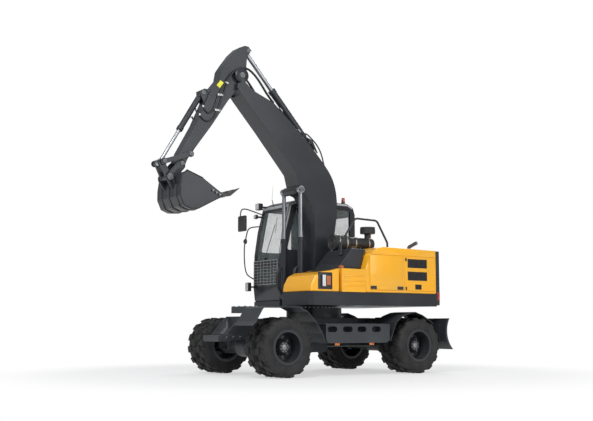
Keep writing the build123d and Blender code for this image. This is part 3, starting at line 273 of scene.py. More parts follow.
seatCloth = clothFinish()

# Slots: the finishes that stand for each, the plain one first
slotFinishes = {
    "yellow_paint": (yellowPaint, limePlate),
    "dark_paint": (charcoalPaint, slateHighlight, rustCap, silverAndHighlight),
    "cast_iron": (castIron, zincSteel, wornSteel, toothSteel),
    "chrome_rod": (chromeRod, mirrorGlass),
    "tyre_rubber": (tyreRubber,),
    "cab_glass": (tintedGlass,),
    "black_plastic": (blackPlastic,),
    "seat_fabric": (seatCloth,),
}
slotOfFinish = {finish.name: slot for slot, finishes in slotFinishes.items() for finish in finishes}
slotOfNode = {part["node"]: part["material_slot"] for part in frame["record"]["subparts"]}
frameNodes = ("chassis_frame", "front_axle", "rear_axle", "driveline", "side_steps", "mudguards")
for name, item in nodes.items():
    item.data.materials.clear()
    item.data.materials.append(framePaint if name in frameNodes else slotFinishes[slotOfNode[name]][0])
print("finishes on", len(nodes), "nodes")


# Pieces: a new piece is a bmesh turned into an object that rides on a body
def newPiece(name, mesh, body, finish, slot=None, smooth=35.0):
    bmesh.ops.recalc_face_normals(mesh, faces=mesh.faces)
    data = bpy.data.meshes.new(name)
    mesh.to_mesh(data)
    mesh.free()
    data.materials.append(finish)
    piece = bpy.data.objects.new(name, data)
    scene.collection.objects.link(piece)
    for face in data.polygons:
        face.use_smooth = True
    data.set_sharp_from_angle(angle=math.radians(smooth))
    if body:
        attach(piece, body)
    slot = slot or slotOfFinish.get(finish.name)
    return piece


# Shapes that the pieces share
def rounded(mesh, edges, reach, steps=2):
    return bmesh.ops.bevel(
        mesh, geom=edges, offset=reach, segments=steps, affect="EDGES", profile=0.5, material=-1
    )["verts"]


def edgesOf(verts):
    return list({line for vert in verts for line in vert.link_edges})


def block(mesh, middle, size, turn=None, edge=0.0, steps=2):
    # a box round its middle with rounded edges
    verts = bmesh.ops.create_cube(mesh, size=1.0)["verts"]
    bmesh.ops.transform(mesh, matrix=Matrix.LocRotScale(Vector(middle), turn, Vector(size)), verts=verts)
    if edge:
        rounded(mesh, edgesOf(verts), edge, steps)


def slab(mesh, low, high, edge=0.0, steps=2):
    # a box between two opposite corners
    low, high = (Vector(corner) for corner in zip(*(sorted(ends) for ends in zip(low, high))))
    block(mesh, (low + high) / 2, high - low, None, edge, steps)


def rod(mesh, start, end, radius, steps=24, tip=None):
    # a round bar, its far end as thick as tip
    start, end = Vector(start), Vector(end)
    run = end - start
    far = radius if tip is None else tip
    made = bmesh.ops.create_cone(
        mesh, cap_ends=True, segments=steps, radius1=radius, radius2=far, depth=run.length
    )
    place = Matrix.LocRotScale((start + end) / 2, run.to_track_quat("Z", "Y"), None)
    bmesh.ops.transform(mesh, matrix=place, verts=made["verts"])


def bolt(mesh, at, axis, across=0.022, height=0.010):
    # a six-sided head on its washer
    at, axis = Vector(at), Vector(axis).normalized()
    washer = 0.003
    rod(mesh, at, at + axis * washer, across * 0.68, 20)
    rod(mesh, at + axis * washer, at + axis * height, across * 0.56, 6)


def trimPiece(name, body, finish, slabs=(), rods=(), slot=None):
    mesh = bmesh.new()
    for row in slabs:
        slab(mesh, *row)
    for row in rods:
        rod(mesh, *row)
    return newPiece(name, mesh, body, finish, slot)


def circle(count, radius, start=0.0, level=False):
    # places evenly round a circle that stands along the machine, or lies level
    for step in range(count):
        turn = 2 * math.pi * step / count + start
        along, other = radius * math.cos(turn), radius * math.sin(turn)
        yield Vector((along, other, 0) if level else (along, 0, other))


def spaced(low, high, count, ends=True):
    # even steps from end to end, or the middles of as many equal parts
    for step in range(count):
        yield low + (high - low) * (step / (count - 1) if ends else (step + 0.5) / count)


def turned(mesh, profile, centre, axis, steps=48, closed=False):
    # profile is (along, radius) pairs, spun round the axis through centre
    axis = Vector(axis).normalized()
    side = axis.orthogonal().normalized()
    rim = [mesh.verts.new(Vector(centre) + axis * along + side * radius) for along, radius in profile]
    edges = [mesh.edges.new(pair) for pair in zip(rim, rim[1:])]
    if closed:
        edges.append(mesh.edges.new((rim[-1], rim[0])))
    made = bmesh.ops.spin(
        mesh, geom=rim + edges, cent=centre, axis=axis, angle=2 * math.pi, steps=steps, use_merge=True
    )
    # the joined shape alone is searched for doubled points
    around = {*rim, *(item for item in made["geom_last"] if isinstance(item, bmesh.types.BMVert))}
    grown = set(around)
    while around:
        around = {line.other_vert(vert) for vert in around for line in vert.link_edges} - grown
        grown |= around
    bmesh.ops.remove_doubles(mesh, verts=list(grown), dist=1e-5)


def scaled(profile, radius):
    # a profile of (along, share of the radius) pairs at its true size
    return [(along, radius * share) for along, share in profile]


def thicken(mesh, faces, move):
    # faces raised into a solid
    made = bmesh.ops.extrude_face_region(mesh, geom=faces)["geom"]
    raised = [item for item in made if isinstance(item, bmesh.types.BMVert)]
    bmesh.ops.translate(mesh, vec=move, verts=raised)


def cutPlate(mesh, outline, near, far):
    # a flat plate of this side outline (x, z) between two y values
    face = mesh.faces.new([mesh.verts.new((x, near, z)) for x, z in outline])
    thicken(mesh, [face], (0, far - near, 0))


def heading(first, second):
    # direction from one side point (x, z) to the next
    return Vector((second[0] - first[0], 0, second[1] - first[1])).normalized()


def leftOf(run):
    # square to a direction in the side plane
    return Vector((-run.z, 0, run.x))


def ribbon(mesh, line, near, far, thick):
    # a strip along a side line (x, z) between two y values, as thick as this to the line's left
    for first, second in zip(line, line[1:]):
        spots = [(x, y, z) for (x, z), y in ((first, near), (second, near), (second, far), (first, far))]
        face = mesh.faces.new([mesh.verts.new(spot) for spot in spots])
        thicken(mesh, [face], leftOf(heading(first, second)) * thick)


def atSide(line, y):
    # the points of a side line (x, z) at this y
    return [(x, y, z) for x, z in line]


def hosePiece(name, routes, radius, body, finish):
    # smooth tubes through given points, made a mesh
    curve = bpy.data.curves.new(name, "CURVE")
    curve.dimensions = "3D"
    curve.bevel_depth = radius
    curve.bevel_resolution = 3
    curve.use_fill_caps = True
    for route in routes:
        spline = curve.splines.new("NURBS")
        spline.points.add(len(route) - 1)
        for point, spot in zip(spline.points, route):
            point.co = (*spot, 1.0)
        spline.order_u = 3
        spline.use_endpoint_u = True
        spline.resolution_u = 5
    carrier = bpy.data.objects.new(name + "Route", curve)
    scene.collection.objects.link(carrier)
    bpy.context.view_layer.update()
    data = bpy.data.meshes.new_from_object(carrier)
    bpy.data.objects.remove(carrier)
    bpy.data.curves.remove(curve)
    mesh = bmesh.new()
    mesh.from_mesh(data)
    bpy.data.meshes.remove(data)
    return newPiece(name, mesh, body, finish, None, 60.0)


bothSides = (-1, 1)
hands = (("right", -1), ("left", 1))
wheels = [
    (end, hand, endSide, side)
    for end, endSide in (("front", 1), ("rear", -1)) for hand, side in reversed(hands)
]

# Tyres: a round carcass with two staggered rows of slanted lugs and shoulder bars
tyreLook = {
    "axleX": 1.288,
    "axleZ": 0.451,
    "pairY": (0.745, 1.030),
    "lugs": 14,
    "firstLug": 0.23,
    "radius": 0.4480,
    "treadHalf": 0.102,
    "lugFoot": 0.424,
    "lugHalf": {"top": 0.046, "foot": 0.055},
    "slant": 0.30,
    # the bar's half y, length and height, at its top and at its foot
    "bar": {"top": (0.1045, 0.082, 0.436), "foot": (0.1165, 0.040, 0.388), "inner": 0.095, "ahead": 0.016},
    "carcass": (
        (-0.094, 0.2530), (-0.103, 0.2580), (-0.106, 0.2700), (-0.103, 0.2760), (-0.110, 0.2950),
        (-0.117, 0.3280), (-0.1195, 0.3560), (-0.1175, 0.3700), (-0.1185, 0.3740), (-0.1165, 0.3800),
        (-0.112, 0.4000), (-0.102, 0.4190), (-0.085, 0.4255), (0.0, 0.4275),
    ),
}


def lugShape(row, look):
    # one slanted lug with its shoulder bar, at the top of the tyre
    mesh = bmesh.new()
    bmesh.ops.create_cube(mesh, size=1.0)
    lines = [line for line in mesh.edges if abs(line.verts[0].co.x - line.verts[1].co.x) > 0.5]
    bmesh.ops.subdivide_edges(mesh, edges=lines, cuts=2, use_grid_fill=True)
    high, foot = look["radius"], look["lugFoot"]
    for vert in mesh.verts:
        top = vert.co.z > 0
        across = 0.004 + (vert.co.y + 0.5) * (look["treadHalf"] - (0.008 if top else 0.004))
        half = look["lugHalf"]["top" if top else "foot"]
        along = vert.co.x * 2 * half + (across - 0.05) * look["slant"]
        vert.co = (along, row * across, math.sqrt(high * high - along * along) if top else foot)
    sharp = [
        line for line in mesh.edges
        if line.calc_face_angle(0.0) > 0.6 and max(vert.co.z for vert in line.verts) > foot + 0.005
    ]
    rounded(mesh, sharp, 0.0035, 1)
    bar = look["bar"]
    for vert in bmesh.ops.create_cube(mesh, size=1.0)["verts"]:
        outer, length, height = bar["foot" if vert.co.z < 0 else "top"]
        across = outer if vert.co.y > 0 else bar["inner"]
        vert.co = (vert.co.x * length + bar["ahead"], row * across, height)
    shape = bpy.data.meshes.new("lug")
    mesh.to_mesh(shape)
    mesh.free()
    return shape


def addLugs(mesh, look, centre, shapes):
    for row, shape in shapes.items():
        for count in range(look["lugs"]):
            turn = (count + look["firstLug"] + (0.5 if row > 0 else 0.0)) * 2 * math.pi / look["lugs"]
            known = len(mesh.verts)
            mesh.from_mesh(shape)
            mesh.verts.ensure_lookup_table()
            place = Matrix.Translation(centre) @ Matrix.Rotation(-turn, 4, "Y")
            bmesh.ops.transform(mesh, matrix=place, verts=mesh.verts[known:])


lugShapes = {row: lugShape(row, tyreLook) for row in bothSides}
half = tyreLook["carcass"]
carcass = [*half, *((-along, radius) for along, radius in half[-2::-1])]
for end, hand, endSide, side in wheels:
    mesh = bmesh.new()
    for pairY in tyreLook["pairY"]:
        centre = Vector((endSide * tyreLook["axleX"], side * pairY, tyreLook["axleZ"]))
        turned(mesh, carcass, centre, (0, 1, 0), 72, closed=True)
        addLugs(mesh, tyreLook, centre, lugShapes)
    tyre = newPiece(f"tread_{end}_{hand}", mesh, f"wheel_{end}_{hand}", tyreRubber, smooth=32.0)
    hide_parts(f"tyres_{end}_{hand}")
print("tyres")

# Wheel hardware: nuts on the disc, a bolted hub cap and the rolled lip of the rim
wheelLook = {
    "discY": 0.8995,
    "nuts": 10,
    # start, end and radius of the washer, the nut and the stud, and their sides
    "nut": ((0.0, 0.004, 0.024, 20), (0.004, 0.022, 0.0175, 6), (0.022, 0.036, 0.010, 12)),
    "nutRing": 0.160,
    "capY": 1.035,
    "capBolts": 8,
    "capRing": 0.062,
    "cap": ((0.0, 0.0), (0.0, 0.046), (0.010, 0.044), (0.016, 0.030), (0.018, 0.0)),
    "lipY": 1.129,
    "lipRadius": 0.2615,
    "lip": ((0.0, -0.010), (0.006, -0.006), (0.009, 0.0), (0.006, 0.0005), (0.0, 0.001), (-0.006, -0.006)),
    "grooveY": 0.9035,
    "grooveRadius": 0.195,
    "groove": ((0.0, 0.0), (0.004, 0.003), (0.0, 0.006), (-0.004, 0.003)),
}
look = wheelLook
for end, hand, endSide, side in wheels:
    axle = Vector((endSide * tyreLook["axleX"], 0.0, tyreLook["axleZ"]))
    out = Vector((0, side, 0))
    mesh = bmesh.new()
    for off in circle(look["nuts"], look["nutRing"]):
        spot = axle + off + out * look["discY"]
        for near, far, radius, steps in look["nut"]:
            rod(mesh, spot + out * near, spot + out * far, radius, steps)
    for off in circle(look["capBolts"], look["capRing"], math.pi / look["capBolts"]):
        bolt(mesh, axle + off + out * look["capY"], out, 0.016)
    turned(mesh, look["cap"], axle + out * look["capY"], out, 32)
    newPiece(f"hubNuts_{end}_{hand}", mesh, f"wheel_{end}_{hand}", wornSteel)
    # the rim's rolled lip and groove in lighter slate, a painted highlight
    mesh = bmesh.new()
    ring = [(along + look["lipY"], radius + look["lipRadius"]) for along, radius in look["lip"]]
    turned(mesh, ring, axle, out, 72, closed=True)
    ring = [(along + look["grooveY"], radius + look["grooveRadius"]) for along, radius in look["groove"]]
    turned(mesh, ring, axle, out, 64, closed=True)
    newPiece(f"rimLip_{end}_{hand}", mesh, f"wheel_{end}_{hand}", slateHighlight)
print("wheel hardware")

# Pin caps: a domed cap, three bolts and a grease nipple on each end of every pin
pinTable = (
    # body, x, z, outer y, radius
    ("boom_body", 0.015, 1.480, 0.2240, 0.045),
    ("boom_body", 1.525, 4.735, 0.1880, 0.040),
    ("boom_cylinder_rods", 0.437, 2.977, 0.2850, 0.034),
    ("boom_body", 0.130, 3.820, 0.0950, 0.030),
    ("upper", 0.440, 1.230, 0.2920, 0.030),
    ("stick_body", 1.365, 5.180, 0.1100, 0.030),
    ("stick_body", 2.168, 4.379, 0.0800, 0.030),
    ("stick_body", 2.425, 3.370, 0.1840, 0.030),
    ("rocker", 2.870, 3.215, 0.1860, 0.030),
    ("bucket_body", 2.560, 3.215, 0.1540, 0.030),
    ("bucket_body", 2.760, 2.990, 0.1560, 0.044),
)
for body in sorted({row[0] for row in pinTable}):
    mesh = bmesh.new()
    for owner, x, z, outer, radius in pinTable:
        if owner != body:
            continue
        cap = [(0.0, 0.0), (0.0, radius * 1.16), (0.004, radius * 1.2), (0.009, radius * 1.1), (0.011, 0.0)]
        for side in bothSides:
            out = Vector((0, side, 0))
            face = Vector((x, side * outer, z))
            turned(mesh, cap, face, out, 32)
            for off in circle(3, radius * 0.68, 0.5):
                bolt(mesh, face + off + out * 0.009, out, 0.016, 0.009)
            rod(mesh, face + out * 0.010, face + out * 0.020, 0.006, 12, tip=0.003)
    # the caps in lighter slate, a painted highlight
    newPiece(f"pinCaps_{body}", mesh, body, slateHighlight)
print("pin caps")

# Hoses over the boom's nose are fixed in place on no body, the others lie on one body
noseHoses = {
    "radius": 0.0115,
    "sideY": (0.128, 0.154),
    "route": (
        (0.905, 4.374), (1.010, 4.470), (1.138, 4.640), (1.250, 4.770), (1.395, 4.872), (1.530, 4.862),
        (1.640, 4.800), (1.735, 4.700), (1.790, 4.600),
    ),
}
for hand, side in hands:
    routes = [atSide(noseHoses["route"], side * y) for y in noseHoses["sideY"]]
    hose = hosePiece(f"noseHoses_{hand}", routes, noseHoses["radius"], None, hoseRubber)
    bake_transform(hose)

stickHoses = {
    "radius": 0.0115,
    "sideY": 0.124,
    "routes": (
        (
            (1.795, 4.590), (1.870, 4.470), (1.945, 4.330), (1.985, 4.180), (2.060, 4.060), (2.150, 4.060),
            (2.205, 4.150),
        ),
        (
            (1.770, 4.580), (1.815, 4.450), (1.880, 4.300), (1.930, 4.140), (2.020, 3.960), (2.170, 3.900),
            (2.262, 4.010),
        ),
    ),
    "clamps": ((1.905, 4.372), (1.952, 4.120)),
    "clampY": (0.1105, 0.1405),
}
look = stickHoses
near, far = look["clampY"]
for hand, side in hands:
    routes = [atSide(route, side * look["sideY"]) for route in look["routes"]]
    hosePiece(f"stickHoses_{hand}", routes, look["radius"], "stick_body", hoseRubber)
    mesh = bmesh.new()
    for x, z in look["clamps"]:
        slab(mesh, (x - 0.060, side * near, z - 0.018), (x + 0.045, side * far, z + 0.018), 0.004)
        bolt(mesh, (x, side * far, z), (0, side, 0), 0.016)
    for end in (-1, 0):
        for x, z in (route[end] for route in look["routes"]):
            rod(mesh, (x, side * 0.108, z), (x, side * 0.139, z), 0.017, 6)
    newPiece(f"stickClamps_{hand}", mesh, "stick_body", zincSteel)

# Hoses from the boom cylinders' tubes down to the deck
deckHoses = {
    "radius": 0.013,
    "sideY": (0.226, 0.256),
    "route": ((0.484, 1.715), (0.545, 1.712), (0.575, 1.560), (0.565, 1.430), (0.520, 1.345), (0.470, 1.292)),
}
for hand, side in hands:
    routes = [atSide(deckHoses["route"], side * y) for y in deckHoses["sideY"]]
    hose = hosePiece(f"deckHoses_{hand}", routes, deckHoses["radius"], None, hoseRubber)
    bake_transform(hose)

# Clamps that hold the pipes to the boom's back
clampLook = {
    "spots": ((0.105, 3.640), (0.420, 3.955), (0.780, 4.262)),
    "along": (1.0, 0.0, 0.98),
    "middleY": 0.1565,
    "size": (0.070, 0.045, 0.016),
}
mesh = bmesh.new()
run = Vector(clampLook["along"]).normalized()
for x, z in clampLook["spots"]:
    for side in bothSides:
        middle = Vector((x, side * clampLook["middleY"], z)) + leftOf(run) * 0.014
        block(mesh, middle, clampLook["size"], run.to_track_quat("X", "Z"), 0.003)
        bolt(mesh, middle + leftOf(run) * 0.008, leftOf(run), 0.018)
newPiece("pipeClamps", mesh, "boom_body", zincSteel)
print("hoses and clamps")

# Bucket: worn caps over the teeth, bolts on the side cutters and wear ribs down the back
bucketLook = {
    "root": (2.012, 2.722),
    "tip": (1.676, 2.878),
    "teeth": 5,
    "spread": 0.346,
    "capFrom": 0.36,
    # a cap's width and height
    "capFoot": (0.066, 0.054),
    "capTip": (0.042, 0.011),
    "cutterBolts": ((2.045, 2.745), (2.105, 2.775), (2.165, 2.805)),
    "cutterY": 0.4060,
    "ribs": (-0.240, 0.0, 0.240),
    "ribHalf": 0.034,
    "ribThick": 0.009,
    "back": (
        (2.706, 2.870), (2.712, 2.800), (2.712, 2.700), (2.706, 2.672), (2.655, 2.552), (2.628, 2.532),
        (2.545, 2.499), (2.508, 2.4965), (2.400, 2.503), (2.200, 2.606), (2.060, 2.681),
    ),
}
look = bucketLook
mesh = bmesh.new()
root, tip = (Vector((x, 0, z)) for x, z in (look["root"], look["tip"]))
run, length = (tip - root).normalized(), (tip - root).length
for y in spaced(-look["spread"], look["spread"], look["teeth"]):
    cap = bmesh.ops.create_cube(mesh, size=1.0)["verts"]
    for vert in cap:
        far = vert.co.x > 0
        wide, tall = look["capTip" if far else "capFoot"]
        along = length - 0.0015 if far else length * look["capFrom"]
        vert.co = (along, vert.co.y * wide, vert.co.z * tall)
    place = Matrix.LocRotScale(root + Vector((0, y, 0)), run.to_track_quat("X", "Z"), None)
    bmesh.ops.transform(mesh, matrix=place, verts=cap)
    rounded(mesh, edgesOf(cap), 0.003)
newPiece("toothCaps", mesh, "bucket_body", toothSteel)
mesh = bmesh.new()
for side in bothSides:
    for x, z in look["cutterBolts"]:
        bolt(mesh, (x, side * look["cutterY"], z), (0, side, 0), 0.024, 0.012)
newPiece("bucketBolts", mesh, "bucket_body", wornSteel)
mesh = bmesh.new()
for middle in look["ribs"]:
    ribbon(mesh, look["back"], middle - look["ribHalf"], middle + look["ribHalf"], look["ribThick"])
newPiece("wearRibs", mesh, "bucket_body", toothSteel)
print("bucket trim")

# Stick: a blank yellow plate on each side
plateLook = {
    "corners": ((1.827, 4.577), (1.886, 4.614), (1.955, 4.522), (1.896, 4.485)),
    "y": (0.1102, 0.1122),
}
mesh = bmesh.new()
for side in bothSides:
    cutPlate(mesh, plateLook["corners"], *(side * y for y in plateLook["y"]))
newPiece("stickPlate", mesh, "stick_body", limePlate)

# Hood trim: latches on both doors, ribs and seams on the tank's box
hoodLook = {
    "skinY": 1.1035,
    "latches": ((-0.930, 1.372), (-0.372, 1.372)),
    "latchHalf": (0.062, 0.026),
    "locks": (1.372, 1.840),
    "lockX": -1.055,
    "tankRibs": (1.395, 1.470, 1.545),
    "tankX": (-0.196, 0.238),
    "seamX": (-0.212, 0.252),
    "seamZ": (1.306, 1.640),
}
look = hoodLook
skin = look["skinY"]
slabs, rods = [], []
wide, tall = look["latchHalf"]
for x, z in look["latches"]:
    slabs.append(((x - wide, skin, z - tall), (x + wide, 1.1105, z + tall), 0.0025))
    slabs.append(((x - wide * 0.6, 1.110, z - tall * 0.45), (x + wide * 0.35, 1.117, z + tall * 0.45), 0.003))
    rods.append(((x + wide * 0.7, 1.109, z), (x + wide * 0.7, 1.114, z), 0.008, 16))
trimPiece("sideDoorLatches", "service_door", blackPlastic, slabs, rods)
x = look["lockX"]
slabs = [((x - 0.015, skin, z - 0.026), (x + 0.015, 1.1105, z + 0.026), 0.0025) for z in look["locks"]]
rods = [((x, 1.109, z), (x, 1.114, z), 0.009, 16) for z in look["locks"]]
trimPiece("grilleDoorLatches", "radiator_door", blackPlastic, slabs, rods)

(low, high), (foot, top) = look["tankX"], look["seamZ"]
slabs = [((low, skin, z - 0.010), (high, 1.1075, z + 0.010), 0.0035) for z in look["tankRibs"]]
slabs += [((x - 0.004, skin, foot), (x + 0.004, 1.1060, top), 0.001) for x in look["seamX"]]
trimPiece("tankRibs", "upper", yellowPaint, slabs)
print("stick plate and hood trim")


# Cab: windscreen panes and their seals, window seals, door trim and a silver strip on the pillar and roof
# edge, a painted highlight
cabLook = {
    "inner": -0.300,
    "outer": -1.150,
    "middle": -0.725,
    # each pane of the screen as a side line, and half its width
    "panes": (
        (((0.4555, 1.845), (0.454, 1.968), (0.389, 2.382), (0.309, 2.675), (0.3000, 2.735)), 0.364),
        (((0.4680, 1.415), (0.4590, 1.785)), 0.349),
    ),
    "paneDrop": 0.018,
    "sealDrop": 0.010,
    "windows": {
        "side": ((0.330, 2.035), (0.160, 2.780), (-0.380, 2.780), (-0.380, 2.035)),
        "sideRear": ((-0.460, 2.035), (-0.460, 2.780), (-1.000, 2.780), (-1.000, 2.035)),
        "door": ((0.315, 2.035), (0.168, 2.740), (-0.330, 2.740), (-0.330, 2.035)),
    },
    "seal": 0.018,
    "doorHandle": ((-0.325, -1.1508, 1.905), (-0.195, -1.139, 1.965)),
    # side lines of the painted highlight: along the pillar and roof, down the pillar's front, across the
    # roof's front edge
    "sideStrip": (
        (0.440, 1.990), (0.389, 2.375), (0.309, 2.668), (0.277, 2.808), (0.075, 2.884), (-0.950, 2.884),
        (-1.060, 2.832),
    ),
    "frontStrip": ((0.4585, 1.970), (0.3930, 2.382), (0.3130, 2.675), (0.2890, 2.790)),
    "brow": ((0.2935, 2.765), (0.2830, 2.812)),
}


def sealRing(mesh, outline, near, far, width):
    # a flat rubber ring just inside this side outline
    face = mesh.faces.new([mesh.verts.new(spot) for spot in atSide(outline, near)])
    ring = bmesh.ops.inset_region(
        mesh, faces=[face], thickness=width, use_boundary=True, use_even_offset=True
    )["faces"]
    bmesh.ops.delete(mesh, geom=[face], context="FACES")
    thicken(mesh, ring, (0, far - near, 0))


look = cabLook
inner, outer, middle = look["inner"], look["outer"], look["middle"]
mesh = bmesh.new()
for line, half in look["panes"]:
    ribbon(mesh, [(x - look["paneDrop"], z) for x, z in line], middle - half, middle + half, 0.006)
newPiece("windscreen", mesh, "upper", tintedGlass)

mesh = bmesh.new()
for line, half in look["panes"]:
    line = [(x - look["sealDrop"], z) for x, z in line]
    for side in bothSides:
        ribbon(mesh, line, middle + side * half, middle + side * (half - 0.022), 0.016)
    for x, z in (line[0], line[-1]):
        slab(mesh, (x - 0.016, middle - half, z - 0.012), (x, middle + half, z + 0.012), 0.003)
newPiece("screenSeal", mesh, "upper", blackPlastic)

mesh = bmesh.new()
for name in ("side", "sideRear"):
    sealRing(mesh, look["windows"][name], inner - 0.020, inner + 0.0015, look["seal"])
sealRing(mesh, look["windows"]["sideRear"], outer + 0.020, outer + 0.0005, look["seal"])
newPiece("windowSeals", mesh, "upper", blackPlastic)
mesh = bmesh.new()
sealRing(mesh, look["windows"]["door"], outer + 0.012, outer + 0.0005, look["seal"])
slab(mesh, *look["doorHandle"], 0.004)
rod(mesh, (-0.300, -1.1455, 1.935), (-0.215, -1.1455, 1.935), 0.006, 16)
newPiece("doorTrim", mesh, "driver_door", blackPlastic)

# a silver strip on the pillar and roof edge: a painted highlight where the curved pillar reflects light
mesh = bmesh.new()
ribbon(mesh, look["sideStrip"], inner, inner + 0.004, 0.030)
ribbon(mesh, look["frontStrip"], inner - 0.050, inner - 0.014, 0.003)
ribbon(mesh, look["brow"], outer + 0.030, inner - 0.014, 0.003)
newPiece("pillarHighlight", mesh, "upper", silverAndHighlight)

# Guard: a grid of round bars before the foot window
guardLook = {
    "x": 0.489,
    "frameX": 0.440,
    "low": 1.463,
    "high": 1.865,
    "half": 0.362,
    "columns": 8,
    "rows": 9,
    "radius": 0.0035,
    "edgeRadius": 0.0056,
    "lugs": (1.463, 1.815),
}
mesh = bmesh.new()
look = guardLook
x, low, high = look["x"], look["low"], look["high"]
left, right = cabLook["middle"] - look["half"], cabLook["middle"] + look["half"]
for count in range(look["columns"]):
    y = left + (right - left) * count / (look["columns"] - 1)
    atEdge = count in (0, look["columns"] - 1)
    rod(mesh, (x, y, low), (x, y, high), look["edgeRadius" if atEdge else "radius"], 10)
for count in range(look["rows"]):
    z = low + (high - low) * count / (look["rows"] - 1)
    atEdge = count in (0, look["rows"] - 1)
    rod(mesh, (x + 0.005, left, z), (x + 0.005, right, z), look["edgeRadius" if atEdge else "radius"], 10)
for y in (left, right):
    for z in look["lugs"]:
        rod(mesh, (look["frameX"], y, z), (x, y, z), 0.009, 16)
newPiece("footGuard", mesh, "upper", zincSteel, "dark_paint")

# Mirrors, on a bent arm and on the tall handrail
mirrorLook = {
    "y": -1.103,
    "arm": ((0.300, 2.690), (0.470, 2.735), (0.690, 2.785), (0.764, 2.735), (0.764, 2.600)),
    "rail": (
        (0.330, 2.486), (0.463, 2.477), (0.604, 2.442), (0.640, 2.300), (0.685, 2.118), (0.665, 1.694),
        (0.564, 1.590), (0.400, 1.540),
    ),
    "railRadius": 0.0105,
    "box": ((0.738, -1.148, 2.372), (0.792, -0.918, 2.642)),
    "boxRim": 0.014,
    "roundAt": (0.650, 2.211),
    "roundRadius": 0.046,
    # along and share of the round mirror's radius
    "roundShell": ((0.0, 0.0), (0.0, 1.0), (0.016, 0.94), (0.032, 0.62), (0.040, 0.0)),
    "roundGlass": ((-0.0015, 0.0), (-0.0015, 0.90), (0.001, 0.90)),
}
look = mirrorLook
routes = [atSide(look[key], look["y"]) for key in ("arm", "rail")]
hosePiece("mirrorRails", routes, look["railRadius"], "upper", blackPlastic)
x, z = look["roundAt"]
spot = Vector((x, look["y"], z))
mesh = bmesh.new()
slab(mesh, *look["box"], 0.022, 4)
turned(mesh, scaled(look["roundShell"], look["roundRadius"]), spot, (1, 0, 0), 32)
rod(mesh, spot + Vector((0.030, 0, 0)), spot + Vector((0.033, 0, 0)), 0.009, 12)
newPiece("mirrorShells", mesh, "upper", blackPlastic)
mesh = bmesh.new()
(face, low, foot), (back, high, top) = look["box"]
rim = look["boxRim"]
slab(mesh, (face - 0.0015, low + rim, foot + rim), (face + 0.004, high - rim, top - rim), 0.0012)
turned(mesh, scaled(look["roundGlass"], look["roundRadius"]), spot, (1, 0, 0), 32)
newPiece("mirrorGlass", mesh, "upper", mirrorGlass)
print("cab trim and mirrors")

# Lamps: a housing, a bright dish and a clear lens
lampTable = (
    # middle of the lamp, direction, depth, width, height, place of its bracket
    ((0.415, -1.050, 2.822), (1, 0, 0), 0.096, 0.116, 0.116, 0.250),
    ((0.450, -1.100, 2.650), (1, 0, 0), 0.056, 0.074, 0.074, 0.290),
    ((0.598, -1.098, 1.430), (1, 0, 0), 0.074, 0.100, 0.150, 0.440),
    ((0.624, 1.118, 1.455), (0, 1, 0), 0.050, 0.076, 0.190, None),
)
lampRim, lensDepth = 0.008, 0.008
housings, lenses, dishes = bmesh.new(), bmesh.new(), bmesh.new()
for middle, towards, depth, wide, tall, bracket in lampTable:
    middle, towards = Vector(middle), Vector(towards)
    across = Vector((abs(towards.y), abs(towards.x), 0))
    half = across * wide / 2 + Vector((0, 0, tall / 2))
    back, face = middle - towards * depth / 2, middle + towards * (depth / 2 - lensDepth)
    glass = half - (across + Vector((0, 0, 1))) * lampRim
    slab(housings, back - half, face + half, 0.012, 3)
    slab(dishes, face - glass, face + towards * 0.002 + glass)
    slab(lenses, face + towards * 0.002 - glass, face + towards * lensDepth + glass, 0.003)
    if bracket is not None:
        low, high = middle - Vector((0, 0.015, 0.014)), middle + Vector((0, 0.015, 0.014))
        slab(housings, (bracket, *low.yz), (back.x + 0.004, *high.yz))
newPiece("lampHousings", housings, "upper", blackPlastic)
newPiece("lampDishes", dishes, "upper", silverAndHighlight, "chrome_rod")
newPiece("lampLenses", lenses, "upper", lampLens)


def border(left, right, low, high, wide):
    # four bars just inside the edges of a side rectangle, as (x, x, z, z)
    return (
        (left, left + wide, low, high), (right - wide, right, low, high),
        (left, right, low, low + wide), (left, right, high - wide, high),
    )


# Nose box's lamp recess: a dark panel with the brown mount beside the lamp
slabs = [((0.462, 1.100, 1.335), (0.706, 1.1055, 1.572), 0.002)]
for x0, x1, z0, z1 in border(0.452, 0.716, 1.325, 1.582, 0.010):
    slabs.append(((x0, 1.100, z0), (x1, 1.112, z1), 0.002))
trimPiece("lampRecess", "upper", blackPlastic, slabs)
trimPiece("brownCaps", "upper", rustCap, (
    ((0.484, 1.104, 1.385), (0.566, 1.126, 1.530), 0.010, 3),
    ((0.205, 1.000, 1.655), (0.252, 1.085, 1.702), 0.014, 3),
))

# Beacon and antenna on the roof, and the wiper
roofLook = {
    "beacon": Vector((-0.930, -0.400, 2.940)),
    "dome": ((0.0, 0.0), (0.0, 0.031), (0.060, 0.029), (0.074, 0.022), (0.080, 0.0)),
    "wiperFoot": ((0.448, -0.800, 1.875), (0.478, -0.755, 1.915), 0.006),
    # start, end, radius, sides and the far end's radius
    "antennaFoot": ((0.340, -0.700, 2.800), (0.374, -0.700, 2.907), 0.010, 12, 0.006),
    "antenna": ((0.374, -0.700, 2.905), (0.360, -0.700, 3.150), 0.0025, 8, 0.0012),
    "wiperArm": ((0.466, -0.780, 1.900), (0.400, -0.560, 2.480), 0.005, 8),
    "wiperBlade": ((0.408, -0.545, 2.330), (0.352, -0.575, 2.600), 0.004, 8),
}
look = roofLook
rods = [(look["beacon"] - Vector((0, 0, 0.040)), look["beacon"], 0.034, 32)]
rods += [look[key] for key in ("antennaFoot", "antenna", "wiperArm", "wiperBlade")]
trimPiece("roofFittings", "upper", blackPlastic, [look["wiperFoot"]], rods)
mesh = bmesh.new()
turned(mesh, look["dome"], look["beacon"], (0, 0, 1), 32)
newPiece("beaconDome", mesh, "upper", redLens)
print("lamps and beacon")

